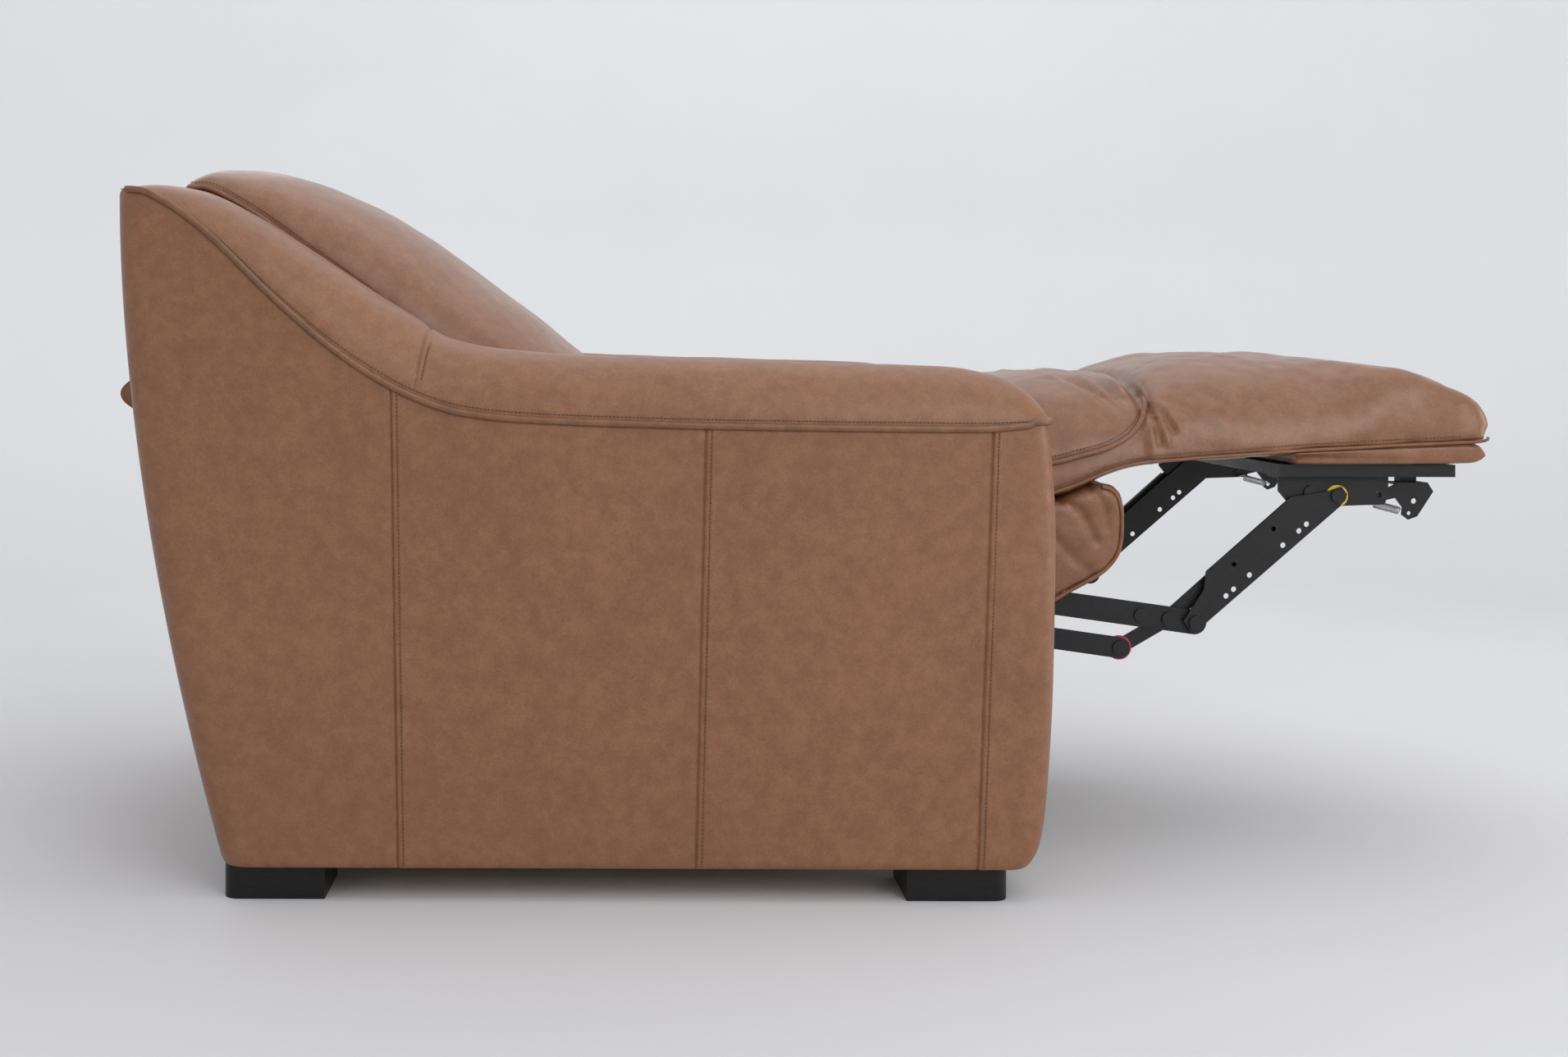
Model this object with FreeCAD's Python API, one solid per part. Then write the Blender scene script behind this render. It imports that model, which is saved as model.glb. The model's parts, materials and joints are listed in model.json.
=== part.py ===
"""Power recliner armchair, drawn fully reclined with its footrest out.

The chair faces +X, +Z is up and the sitter's right is -Y. Everything is drawn in a side-profile frame
whose X starts at the rear of the shell and whose Z starts at the floor. The finished assembly is then
moved so that the origin is the bottom centre of its box.
"""
import FreeCAD
import Part

import math
import os

V = FreeCAD.Vector

# ---- driving dimensions, in millimetres -------------------------------------------------------------
OVERALL_WIDTH = 914.0          # across both arms
ARM_WIDTH = 165.0
SHELL_DEPTH = 1070.0           # rear of the shell to the arm fronts
SHELL_TOP = 806.0
ARM_TOP = 612.0                # crown of the arm
WELT_HEIGHT = 537.0            # edge between side panel and top panel, along the arm
FOOT_HEIGHT = 38.0
FOOT_LENGTH = 116.0
FOOT_WIDTH = 100.0
FOOT_INSET = 12.0              # from the arm's outer face
FOOT_SETBACK = 54.0            # from the arm fronts
FOOT_ROUND = 18.0
REAR_RAKE = 121.0              # how far the rear leans in at the bottom
COVER_WALL = 8.0               # leather, wadding and board together
PANEL_THICKNESS = 18.0         # plywood
BODY_GAP = 9.0                 # between the arms' inner faces and the moving cushions
PLATE = 3.0                    # steel plate of the mechanism
PIN_RADIUS = 5.0
HEAD_RADIUS = 9.0
YELLOW_RADIUS = 13.5           # plastic washers between the plates
RED_RADIUS = 15.2
HEAD_THICKNESS = 2.5
FIT = 0.05                     # radial running clearance of a pin in its hole
SIDE_PLAY = 0.6                # between a plate and the rivet head that holds it
GLIDE_TRAVEL = 200.0           # the seat moves back this far as the chair closes
TUBE = 25.0                    # square cross tubes
DRIVE_ARM_HALF = 15.0          # half widths of the linkage's bars
GUIDE_ARM_HALF = 13.0
CRANKED_HALF = 9.0
TORQUE_TUBE_RADIUS = 14.0
TORQUE_TUBE_BORE = 10.0
PUNCHED_HOLE = 3.5             # radius of the row of holes in each channel
SOFT_GAP = 1.0                 # between soft pieces of different bodies

HALF_WIDTH = OVERALL_WIDTH / 2
INNER_FACE = HALF_WIDTH - ARM_WIDTH
CUSHION_HALF = INNER_FACE - BODY_GAP - 3.0

# ---- layers of the mechanism, as |Y| of each plate's inner face -------------------------------------
PLATE_GAP = 1.0
LAYER_ARMS = INNER_FACE - 42.0                       # drive arms, guide arms, footrest brackets
LAYER_CRANKED = LAYER_ARMS - PLATE - PLATE_GAP       # cranked links, inside the arms
LAYER_CHANNEL = LAYER_ARMS + PLATE + 4.0             # channel links, outside the arms
LAYER_SEAT = LAYER_CHANNEL + PLATE + 2.0             # seat side plates

# ---- pivots of the footrest linkage in the profile plane --------------------------------------------
FOLD_CENTRE = V(1215, 0, 480)                        # the footrest turns about this line
TOP_PIVOT = V(1459.4, 0, 446.5)
ELBOW_PIVOT = V(1284.8, 0, 289.6)
CRANK_PIVOT = V(1253.3, 0, 293.2)
GUIDE_END = V(1192.6, 0, 257.7)
COUPLER = TOP_PIVOT - ELBOW_PIVOT
ARM_ROOT = FOLD_CENTRE - COUPLER
BRACKET_PIVOT = CRANK_PIVOT + COUPLER
GUIDE_ROOT = GUIDE_END - CRANK_PIVOT + ARM_ROOT
BACK_PIVOT = V(700, 0, 360)

# ---- the shell's side profile ----------------------------------------------------------------------
CROWN_SWOOP = (40.0, 480.0)          # the crown line falls from SHELL_TOP to ARM_TOP between these X
WELT_SWOOP = (-15.0, 415.0)
NOSE_START = SHELL_DEPTH - 190.0
NOSE_DROP = 62.0
FRONT_INSET = 10.0                   # the front edge leans back this much at its ends
CORNER_RADIUS = 40.0
WELT_DROP = 3.0                      # the welt's rear end lies this far below the crown's
REAR_SHOULDER = 16.0                 # the rear stands upright down to here, then leans in
REAR_CURVE = 1.75                    # exponent of the lean
FLAP_DROP = 234.0                    # the rear flap's middle below SHELL_TOP
FLAP_REACH = 43.0                    # how far it sticks out behind
INLET_RISE = 62.0                    # the power inlet's middle above the shell's lower edge
TOP_STEPS = 14
EDGE_STEPS = 6

# ---- seat, back and footrest -----------------------------------------------------------------------
SEAT_BASE = 442.0                    # underside of the seat cushion
SEAT_RAIL_TOP = SEAT_BASE - 6.0
SEAT_RAIL_HEIGHT = 35.0
SEAT_FRONT = 1186.0
SEAT_REAR = 735.0                    # rear rail of the seat frame
PUSH_LUG = V(835, 0, 330)            # the cross tube that the push rod drives
SEAT_SWEEP_RADIUS = 125.0            # the seat cushion's rear clears the turning back by this radius
BACK_SWEEP_RADIUS = 119.0
BACK_SLOPE = 36.5                    # degrees above horizontal, reclined
BACK_LENGTH = 700.0
BACK_CUSHION = 118.0
BACK_FRAME = 28.0
PAD_START = 1246.0
PAD_END = 1634.0
PAD_TOP = 616.0
BOARD_START = 1385.0
BOARD_END = 1600.0
BOARD_THICKNESS = 15.0
BOARD_BOTTOM = 471.0
WIRE_RADIUS = 2.0
SPRING_COUNT = 5

# ---- drive -----------------------------------------------------------------------------------------
DRIVE_HEIGHT = 150.0
DRIVE_REAR = 215.0
DRIVE_TUBE_LENGTH = 400.0
DRIVE_TUBE_RADIUS = 20.0
PUSH_ROD_RADIUS = 12.0
GLIDE_RAIL_HEIGHT = 40.0
GLIDE_RAIL_BASE = 215.0
GLIDE_RAIL_START = 420.0
GLIDE_CLEARANCE = 0.3
CONTROL_CENTRE = V(850, 0, 565)
CONTROL_LENGTH = 92.0
CONTROL_HEIGHT = 30.0
CONTROL_DEPTH = 7.0
CONTROL_PROUD = 2.0
BUTTON_RADIUS = 9.0
BUTTON_PROUD = 1.5
BUTTON_DEPTH = 4.0
BUTTON_TRAVEL = 1.8
BUTTON_PITCH = 44.0

nodes = {}


# ---- shape helpers ---------------------------------------------------------------------------------
def slab(points, y_low, y_high):
    """An XZ polygon pulled along Y."""
    corners = [V(x, y_low, z) for x, z in points]
    face = Part.Face(Part.makePolygon(corners + corners[:1]))
    return face.extrude(V(0, y_high - y_low, 0))


def smooth_slab(points, y_low, y_high, flat_from, flat_to):
    """A closed outline whose curve runs through the points, closed by one straight edge."""
    curve = Part.BSplineCurve()
    curve.interpolate([V(x, y_low, z) for x, z in points])
    chain = [V(flat_from[0], y_low, flat_from[1]), V(flat_to[0], y_low, flat_to[1])]
    ends = [V(points[-1][0], y_low, points[-1][1])] + chain + [V(points[0][0], y_low, points[0][1])]
    edges = [curve.toShape()]
    for start, end in zip(ends, ends[1:]):
        if (end - start).Length > 0.01:
            edges.append(Part.makeLine(start, end))
    return Part.Face(Part.Wire(edges)).extrude(V(0, y_high - y_low, 0))


def block(x_low, x_high, y_low, y_high, z_low, z_high):
    return Part.makeBox(x_high - x_low, y_high - y_low, z_high - z_low, V(x_low, y_low, z_low))


def disc(centre, radius, y_low, y_high):
    return Part.makeCylinder(radius, y_high - y_low, V(centre.x, y_low, centre.z), V(0, 1, 0))


def rod(x_low, x_high, z, radius):
    return Part.makeCylinder(radius, x_high - x_low, V(x_low, 0, z), V(1, 0, 0))


def strap(points, half_width, y_low):
    """A steel bar with round ends that runs through the points."""
    bar = disc(points[0], half_width, y_low, y_low + PLATE)
    for start, end in zip(points, points[1:]):
        along = (end - start).normalize()
        across = V(-along.z, 0, along.x) * half_width
        corners = [start + across, end + across, end - across, start - across]
        bar = bar.fuse(slab([(c.x, c.z) for c in corners], y_low, y_low + PLATE))
        bar = bar.fuse(disc(end, half_width, y_low, y_low + PLATE))
    return bar.removeSplitter()


def drilled(plate, centres, radius, y_low):
    for centre in centres:
        plate = plate.cut(disc(centre, radius, y_low - 1, y_low + PLATE + 1))
    return plate


def rivet(centre, start, plate_outer):
    """A stud from the plate it is fixed to, through the next plate, with its head outside that."""
    head_start = plate_outer + SIDE_PLAY
    stud = disc(centre, PIN_RADIUS, start, head_start)
    return stud.fuse(disc(centre, HEAD_RADIUS, head_start, head_start + HEAD_THICKNESS)).removeSplitter()


def washer(centre, radius, start, thickness):
    ring = disc(centre, radius, start, start + thickness)
    return ring.cut(disc(centre, PIN_RADIUS, start - 1, start + thickness + 1))


def mirrored(shape):
    return shape.mirror(V(0, 0, 0), V(0, 1, 0))


def add_pair(name, shape):
    """The left piece, at +Y, and its mirror image on the sitter's right."""
    nodes[name + "_left"] = shape
    nodes[name + "_right"] = mirrored(shape)


def add_group(name, shapes):
    """Identical pieces on both sides kept in one node."""
    nodes[name] = Part.makeCompound(shapes + [mirrored(s) for s in shapes])


def smoothstep(x, limits):
    t = min(1.0, max(0.0, (x - limits[0]) / (limits[1] - limits[0])))
    return t * t * (3 - 2 * t)


# ---- shell -----------------------------------------------------------------------------------------
def crown_height(x):
    nose = max(0.0, (x - NOSE_START) / (SHELL_DEPTH - FRONT_INSET - NOSE_START))
    return SHELL_TOP - (SHELL_TOP - ARM_TOP) * smoothstep(x, CROWN_SWOOP) - NOSE_DROP * nose ** 4


def welt_height(x):
    fall = (SHELL_TOP - WELT_DROP - WELT_HEIGHT) * smoothstep(x, WELT_SWOOP)
    return SHELL_TOP - WELT_DROP - fall


def rear_edge(z):
    share = max(0.0, (SHELL_TOP - REAR_SHOULDER - z) / (SHELL_TOP - REAR_SHOULDER - FOOT_HEIGHT))
    return REAR_RAKE * share ** REAR_CURVE


def front_edge(z):
    middle = (FOOT_HEIGHT + ARM_TOP) / 2
    return SHELL_DEPTH - FRONT_INSET * ((z - middle) / (ARM_TOP - middle)) ** 2


def spline(points):
    curve = Part.BSplineCurve()
    curve.interpolate(points)
    return curve.toShape()


def arm_section(y, crown_share, inset, base):
    """One closed outline of the arm at Y: rear edge, top, front edge and bottom."""
    rear_top = rear_edge(SHELL_TOP - inset) + inset
    front_x = front_edge(WELT_HEIGHT) - inset

    def top(x):
        return welt_height(x) + (crown_height(x) - welt_height(x)) * crown_share - inset

    step = (front_x - rear_top) / TOP_STEPS
    top_points = [V(rear_top + step * i, y, top(rear_top + step * i)) for i in range(TOP_STEPS + 1)]
    z_low = base + CORNER_RADIUS
    front_rise = (top_points[-1].z - z_low) / EDGE_STEPS
    front_heights = [z_low + front_rise * i for i in range(EDGE_STEPS)]
    front_points = [V(front_edge(z) - inset, y, z) for z in front_heights] + [top_points[-1]]
    rear_drop = (top_points[0].z - base) / EDGE_STEPS
    rear_heights = [top_points[0].z - rear_drop * i for i in range(1, EDGE_STEPS + 1)]
    rear_points = [top_points[0]] + [V(rear_edge(z) + inset, y, z) for z in rear_heights]
    corner_end = front_points[0]
    corner_start = V(corner_end.x - CORNER_RADIUS, y, base)
    turn = CORNER_RADIUS * (1 - math.sqrt(0.5))
    corner_middle = V(corner_end.x - turn, y, base + turn)
    edges = [
        Part.makeLine(rear_points[-1], corner_start),
        Part.Arc(corner_start, corner_middle, corner_end).toShape(),
        spline(front_points),
        spline(top_points[::-1]),
        spline(rear_points),
    ]
    return Part.Wire(edges)


def arm_solid(inset, base, y_low, y_high):
    """The arm's body between two Y planes: flat sides and a crowned top."""
    shares = ((0.0, 0.72), (0.25, 0.97), (0.6, 0.97), (0.85, 0.62), (1.0, 0.08))
    sections = [arm_section(y_low + (y_high - y_low) * at, share, inset, base) for at, share in shares]
    return Part.makeLoft(sections, True, True)


def make_shell():
    outer = arm_solid(0.0, FOOT_HEIGHT, INNER_FACE, HALF_WIDTH)
    hollow = arm_solid(COVER_WALL, FOOT_HEIGHT - 5.0, INNER_FACE + COVER_WALL, HALF_WIDTH - COVER_WALL)
    cover = outer.cut(hollow)
    pocket_inner = INNER_FACE - 1.0
    pocket_outer = INNER_FACE + CONTROL_DEPTH - CONTROL_PROUD
    pocket = block(CONTROL_CENTRE.x - CONTROL_LENGTH / 2, CONTROL_CENTRE.x + CONTROL_LENGTH / 2,
                   pocket_inner, pocket_outer,
                   CONTROL_CENTRE.z - CONTROL_HEIGHT / 2, CONTROL_CENTRE.z + CONTROL_HEIGHT / 2)
    nodes["arm_cover_left"] = cover
    nodes["arm_cover_right"] = mirrored(cover.cut(pocket))

    frame_space = arm_solid(COVER_WALL + 3.0, FOOT_HEIGHT, INNER_FACE + COVER_WALL,
                            HALF_WIDTH - COVER_WALL - 2.0)
    panel = block(0, SHELL_DEPTH, INNER_FACE + COVER_WALL, INNER_FACE + COVER_WALL + PANEL_THICKNESS,
                  FOOT_HEIGHT, SHELL_TOP)
    rail = block(REAR_RAKE + 20, SHELL_DEPTH - CORNER_RADIUS - 20,
                 INNER_FACE + COVER_WALL + PANEL_THICKNESS, HALF_WIDTH - COVER_WALL - 2.0,
                 FOOT_HEIGHT, FOOT_HEIGHT + 30)
    add_pair("arm_frame", panel.fuse(rail).common(frame_space).removeSplitter())


def make_rear():
    heights = [FOOT_HEIGHT + (SHELL_TOP - FOOT_HEIGHT) * i / 8 for i in range(9)]
    outer = [V(rear_edge(z), -INNER_FACE, z) for z in heights]
    inner = [p + V(COVER_WALL, 0, 0) for p in outer]
    edges = [spline(outer), Part.makeLine(outer[-1], inner[-1]), spline(inner[::-1]),
             Part.makeLine(inner[0], outer[0])]
    skin = Part.Face(Part.Wire(edges)).extrude(V(0, 2 * INNER_FACE, 0))
    nodes["rear_cover"] = skin

    rails = []
    for z in (FOOT_HEIGHT, SHELL_TOP / 2, SHELL_TOP - 50.0):
        x = rear_edge(z) + COVER_WALL + 0.2
        rails.append(block(x, x + PANEL_THICKNESS, -INNER_FACE, INNER_FACE, z, z + 45.0))
    nodes["rear_frame"] = Part.makeCompound(rails)

    flap_height = SHELL_TOP - FLAP_DROP
    flap = slab([(24, flap_height - 22), (-FLAP_REACH, flap_height - 4), (-FLAP_REACH, flap_height + 4),
                 (20, flap_height + 20)], -INNER_FACE + 7.0, INNER_FACE - 7.0)
    behind = block(-100, 300, -INNER_FACE, INNER_FACE, FOOT_HEIGHT, SHELL_TOP)
    face_cut = Part.Face(Part.Wire([
        spline(outer), Part.makeLine(outer[-1], V(300, -INNER_FACE, outer[-1].z)),
        Part.makeLine(V(300, -INNER_FACE, outer[-1].z), V(300, -INNER_FACE, outer[0].z)),
        Part.makeLine(V(300, -INNER_FACE, outer[0].z), outer[0])])).extrude(V(0, 2 * INNER_FACE, 0))
    nodes["rear_flap"] = flap.common(behind).cut(face_cut)

    inlet_height = FOOT_HEIGHT + INLET_RISE
    inlet_x = rear_edge(inlet_height)
    housing = block(inlet_x - 6.0, inlet_x + COVER_WALL, 120, 156, inlet_height - 14, inlet_height + 14)
    mouth = block(inlet_x - 7.0, inlet_x + 1.0, 126, 150, inlet_height - 8, inlet_height + 8)
    nodes["rear_cover"] = nodes["rear_cover"].cut(housing)
    nodes["power_inlet"] = housing.cut(mouth)
    nodes["dust_cover"] = block(REAR_RAKE + COVER_WALL + PANEL_THICKNESS + 1, NOSE_START,
                                -INNER_FACE, INNER_FACE, FOOT_HEIGHT + 1, FOOT_HEIGHT + 2.5)


def make_feet():
    outer = HALF_WIDTH - FOOT_INSET
    for end, x in (("rear", REAR_RAKE + 3.0), ("front", SHELL_DEPTH - FOOT_SETBACK - FOOT_LENGTH)):
        foot = block(x, x + FOOT_LENGTH, outer - FOOT_WIDTH, outer, 0, FOOT_HEIGHT)
        corner_x = x if end == "rear" else x + FOOT_LENGTH
        upright = [e for e in foot.Edges if abs(e.BoundBox.XLength) < 0.01 and e.BoundBox.ZLength > 10]
        corner = [e for e in upright if abs(e.BoundBox.XMin - corner_x) < 0.01]
        add_pair("foot_" + end, foot.makeFillet(FOOT_ROUND, corner))


def make_base_metal():
    rail_end = SHELL_DEPTH - 60.0
    z_low, z_high = GLIDE_RAIL_BASE, GLIDE_RAIL_BASE + GLIDE_RAIL_HEIGHT
    rail_inner = INNER_FACE - 22.0
    rail = block(GLIDE_RAIL_START, rail_end, rail_inner, INNER_FACE, z_low, z_high)
    slot = block(GLIDE_RAIL_START - 1, rail_end + 1, rail_inner - 1, INNER_FACE - PLATE,
                 z_low + PLATE, z_high - PLATE)
    add_pair("glide_rail", rail.cut(slot))
    tube_top = DRIVE_HEIGHT - DRIVE_TUBE_RADIUS
    bars = []
    for x in (DRIVE_REAR + 35.0, DRIVE_REAR + DRIVE_TUBE_LENGTH - 45.0):
        bars.append(block(x, x + TUBE, -INNER_FACE, INNER_FACE, tube_top - TUBE, tube_top))
    nodes["base_cross_tubes"] = Part.makeCompound(bars)
    barrel = rod(DRIVE_REAR, DRIVE_REAR + DRIVE_TUBE_LENGTH, DRIVE_HEIGHT, DRIVE_TUBE_RADIUS)
    bore = rod(DRIVE_REAR + 5.0, DRIVE_REAR + DRIVE_TUBE_LENGTH + 1, DRIVE_HEIGHT, PUSH_ROD_RADIUS + FIT)
    nodes["drive_tube"] = barrel.cut(bore)
    gearbox = block(DRIVE_REAR - 50, DRIVE_REAR, -28, 28, DRIVE_HEIGHT - 28, DRIVE_HEIGHT + 28)
    motor = Part.makeCylinder(26, 110, V(DRIVE_REAR - 25, 28, DRIVE_HEIGHT), V(0, 1, 0))
    nodes["drive_motor"] = gearbox.fuse(motor).removeSplitter()


def make_controls():
    c = CONTROL_CENTRE
    inner = INNER_FACE - CONTROL_PROUD
    plate = block(c.x - CONTROL_LENGTH / 2, c.x + CONTROL_LENGTH / 2, inner, inner + CONTROL_DEPTH,
                  c.z - CONTROL_HEIGHT / 2, c.z + CONTROL_HEIGHT / 2)
    for name, side in (("open_button", 1), ("close_button", -1)):
        at = V(c.x + side * BUTTON_PITCH / 2, 0, c.z)
        well_depth = BUTTON_DEPTH + BUTTON_TRAVEL + 0.2
        plate = plate.cut(disc(at, BUTTON_RADIUS + 0.3, inner - 1, inner + well_depth - BUTTON_PROUD))
        cap = disc(at, BUTTON_RADIUS, inner - BUTTON_PROUD, inner - BUTTON_PROUD + BUTTON_DEPTH)
        nodes[name] = mirrored(cap)
    nodes["control_panel"] = mirrored(plate)


# ---- seat ------------------------------------------------------------------------------------------
def sinuous(x_start, x_end, y, z, half_width, loops):
    """A zigzag seat spring: straight runs across joined by half turns."""
    pitch = (x_end - x_start) / loops
    radius = pitch / 2
    edges = []
    for i in range(loops):
        side = 1 if i % 2 == 0 else -1
        x = x_start + pitch * i
        run_start = V(x, y - side * (half_width - radius), z)
        run_end = V(x, y + side * (half_width - radius), z)
        edges.append(Part.makeLine(run_start, run_end))
        top = V(x + radius, y + side * half_width, z)
        edges.append(Part.Arc(run_end, top, run_end + V(pitch, 0, 0)).toShape())
    path = Part.Wire(edges)
    start = edges[0].Vertexes[0].Point
    ring = Part.Wire(Part.Circle(start, V(0, 1, 0), WIRE_RADIUS).toShape())
    return path.makePipeShell([ring], True, False)


def make_seat():
    plate_low = GLIDE_RAIL_BASE + PLATE + GLIDE_CLEARANCE
    rail_low = SEAT_RAIL_TOP - SEAT_RAIL_HEIGHT
    ear = 26.0
    outline = [(630, plate_low), (900, plate_low), (ARM_ROOT.x + 30, ARM_ROOT.z - 45),
               (ARM_ROOT.x + 30, SEAT_RAIL_TOP), (850, SEAT_RAIL_TOP),
               (BACK_PIVOT.x + ear, BACK_PIVOT.z + ear), (BACK_PIVOT.x - ear, BACK_PIVOT.z + ear)]
    plate = slab(outline, LAYER_SEAT, LAYER_SEAT + PLATE)
    plate = drilled(plate, [ARM_ROOT, GUIDE_ROOT, BACK_PIVOT], PIN_RADIUS + FIT, LAYER_SEAT)
    add_pair("seat_plate", plate)

    block_low, block_high = plate_low, GLIDE_RAIL_BASE + GLIDE_RAIL_HEIGHT - PLATE - GLIDE_CLEARANCE
    blocks = []
    for x in (GLIDE_RAIL_START + GLIDE_TRAVEL + 20, 880.0):
        blocks.append(block(x, x + 60, LAYER_SEAT + PLATE, INNER_FACE - PLATE - 0.5,
                            block_low, block_high))
    add_group("glide_blocks", blocks)

    side_low, side_high = CUSHION_HALF - 60, LAYER_SEAT
    front, rear = ARM_ROOT.x + 20, SEAT_REAR
    frame = block(rear, front, side_low, side_high, rail_low, SEAT_RAIL_TOP)
    frame = frame.fuse(mirrored(frame))
    for x in (rear, front - 40):
        frame = frame.fuse(block(x, x + 40, -side_low, side_low, rail_low, SEAT_RAIL_TOP))
    nodes["seat_frame"] = frame.removeSplitter()

    spacing = 2 * side_low / SPRING_COUNT
    springs = []
    for i in range(SPRING_COUNT):
        y = (i - (SPRING_COUNT - 1) / 2) * spacing
        springs.append(sinuous(rear + 12, front - 12, y, SEAT_RAIL_TOP + WIRE_RADIUS, 26.0, 13))
    nodes["seat_springs"] = Part.makeCompound(springs)

    bars = []
    for x, z in ((PUSH_LUG.x, PUSH_LUG.z), (SEAT_REAR, rail_low - TUBE)):
        bars.append(block(x, x + TUBE, -LAYER_SEAT, LAYER_SEAT, z, z + TUBE))
    nodes["seat_cross_tubes"] = Part.makeCompound(bars)
    rod_start = DRIVE_REAR + GLIDE_TRAVEL + 10
    push = rod(rod_start, PUSH_LUG.x, DRIVE_HEIGHT, PUSH_ROD_RADIUS)
    push = push.fuse(block(PUSH_LUG.x, PUSH_LUG.x + TUBE, -14, 14, DRIVE_HEIGHT - 16, PUSH_LUG.z))
    nodes["push_rod"] = push.removeSplitter()

    gearmotor = block(ARM_ROOT.x - 42, ARM_ROOT.x + 28, -45, 45, ARM_ROOT.z - 34, rail_low)
    nodes["footrest_gearmotor"] = gearmotor.cut(disc(ARM_ROOT, TORQUE_TUBE_RADIUS + FIT, -50, 50))

    top = [(766, 488), (850, 518), (960, 552), (1050, 583), (1100, 592), (1150, 584), (1180, 556),
           (SEAT_FRONT, 524), (1172, 490), (1140, 462), (1100, SEAT_BASE)]
    cushion = smooth_slab(top, -CUSHION_HALF, CUSHION_HALF, (766, SEAT_BASE), (766, SEAT_BASE))
    nodes["seat_cushion"] = cushion.cut(disc(BACK_PIVOT, SEAT_SWEEP_RADIUS, -400, 400))

    front_x = ARM_ROOT.x + 31
    pad = [(front_x, SEAT_BASE - SOFT_GAP), (1100, SEAT_BASE - SOFT_GAP), (1150, 452), (1181, 450),
           (1192, 425), (1192, 393), (1180, 366), (1140, 346), (front_x, 344)]
    nodes["front_pad"] = smooth_slab(pad[1:-1], -CUSHION_HALF, CUSHION_HALF, pad[-1], pad[0])
    bridge = slab([(SEAT_FRONT + 3, 596), (PAD_START - SOFT_GAP, 600), (PAD_START - SOFT_GAP, 500),
                   (SEAT_FRONT + 3, 500)], -CUSHION_HALF, CUSHION_HALF)
    nodes["chaise_bridge"] = bridge


# ---- back ------------------------------------------------------------------------------------------
def back_point(along, behind):
    """A point along the back's face from its lower end, and behind the face."""
    slope = math.radians(BACK_SLOPE)
    foot = V(BACK_PIVOT.x, 0, BACK_PIVOT.z + BACK_SWEEP_RADIUS)
    up = V(-math.cos(slope), 0, math.sin(slope))
    rearward = V(-math.sin(slope), 0, -math.cos(slope))
    point = foot + up * along + rearward * behind
    return point.x, point.z


def back_slab(along_low, along_high, behind_low, behind_high, y_low, y_high):
    corners = [back_point(along_low, behind_low), back_point(along_high, behind_low),
               back_point(along_high, behind_high), back_point(along_low, behind_high)]
    return slab(corners, y_low, y_high)


def make_back():
    half = CUSHION_HALF
    face = [back_point(a, b) for a, b in ((0, 8), (40, 0), (250, -12), (450, -14), (620, 2), (690, 40),
                                          (BACK_LENGTH, 80), (BACK_LENGTH - 12, BACK_CUSHION))]
    nodes["back_cushion"] = smooth_slab(face, -half, half, back_point(0, BACK_CUSHION),
                                        back_point(0, BACK_CUSHION))
    rear_low, rear_high = BACK_CUSHION, BACK_CUSHION + BACK_FRAME
    hinge_inner = LAYER_SEAT - PLATE - PLATE_GAP
    rail_half = hinge_inner - 42.0
    post = back_slab(0, BACK_LENGTH - 15, rear_low, rear_high, rail_half, hinge_inner)
    frame = post.fuse(mirrored(post))
    for along in (0, BACK_LENGTH - 65):
        frame = frame.fuse(back_slab(along, along + 50, rear_low, rear_high, -rail_half, rail_half))
    nodes["back_frame"] = frame.removeSplitter()
    straps = []
    for i in range(5):
        along = 90 + i * 110
        straps.append(back_slab(along, along + 55, rear_low + 8, rear_low + 10, -rail_half, rail_half))
    nodes["back_webbing"] = Part.makeCompound(straps)
    nodes["back_panel"] = back_slab(10, BACK_LENGTH - 20, rear_high, rear_high + 3,
                                    -hinge_inner, hinge_inner)

    low_rail = back_point(-16, rear_low + BACK_FRAME / 2)
    high_rail = back_point(150, rear_low + BACK_FRAME / 2)
    hinge_strap = strap([BACK_PIVOT, V(low_rail[0], 0, low_rail[1]), V(high_rail[0], 0, high_rail[1])],
                        14.0, hinge_inner)
    pin = rivet(BACK_PIVOT, hinge_inner + PLATE, LAYER_SEAT + PLATE)
    add_group("back_hinges", [hinge_strap.fuse(pin).removeSplitter()])


# ---- footrest --------------------------------------------------------------------------------------
def pad_underside(x):
    return 496.0 + (x - 1302.0) * 0.06


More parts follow.
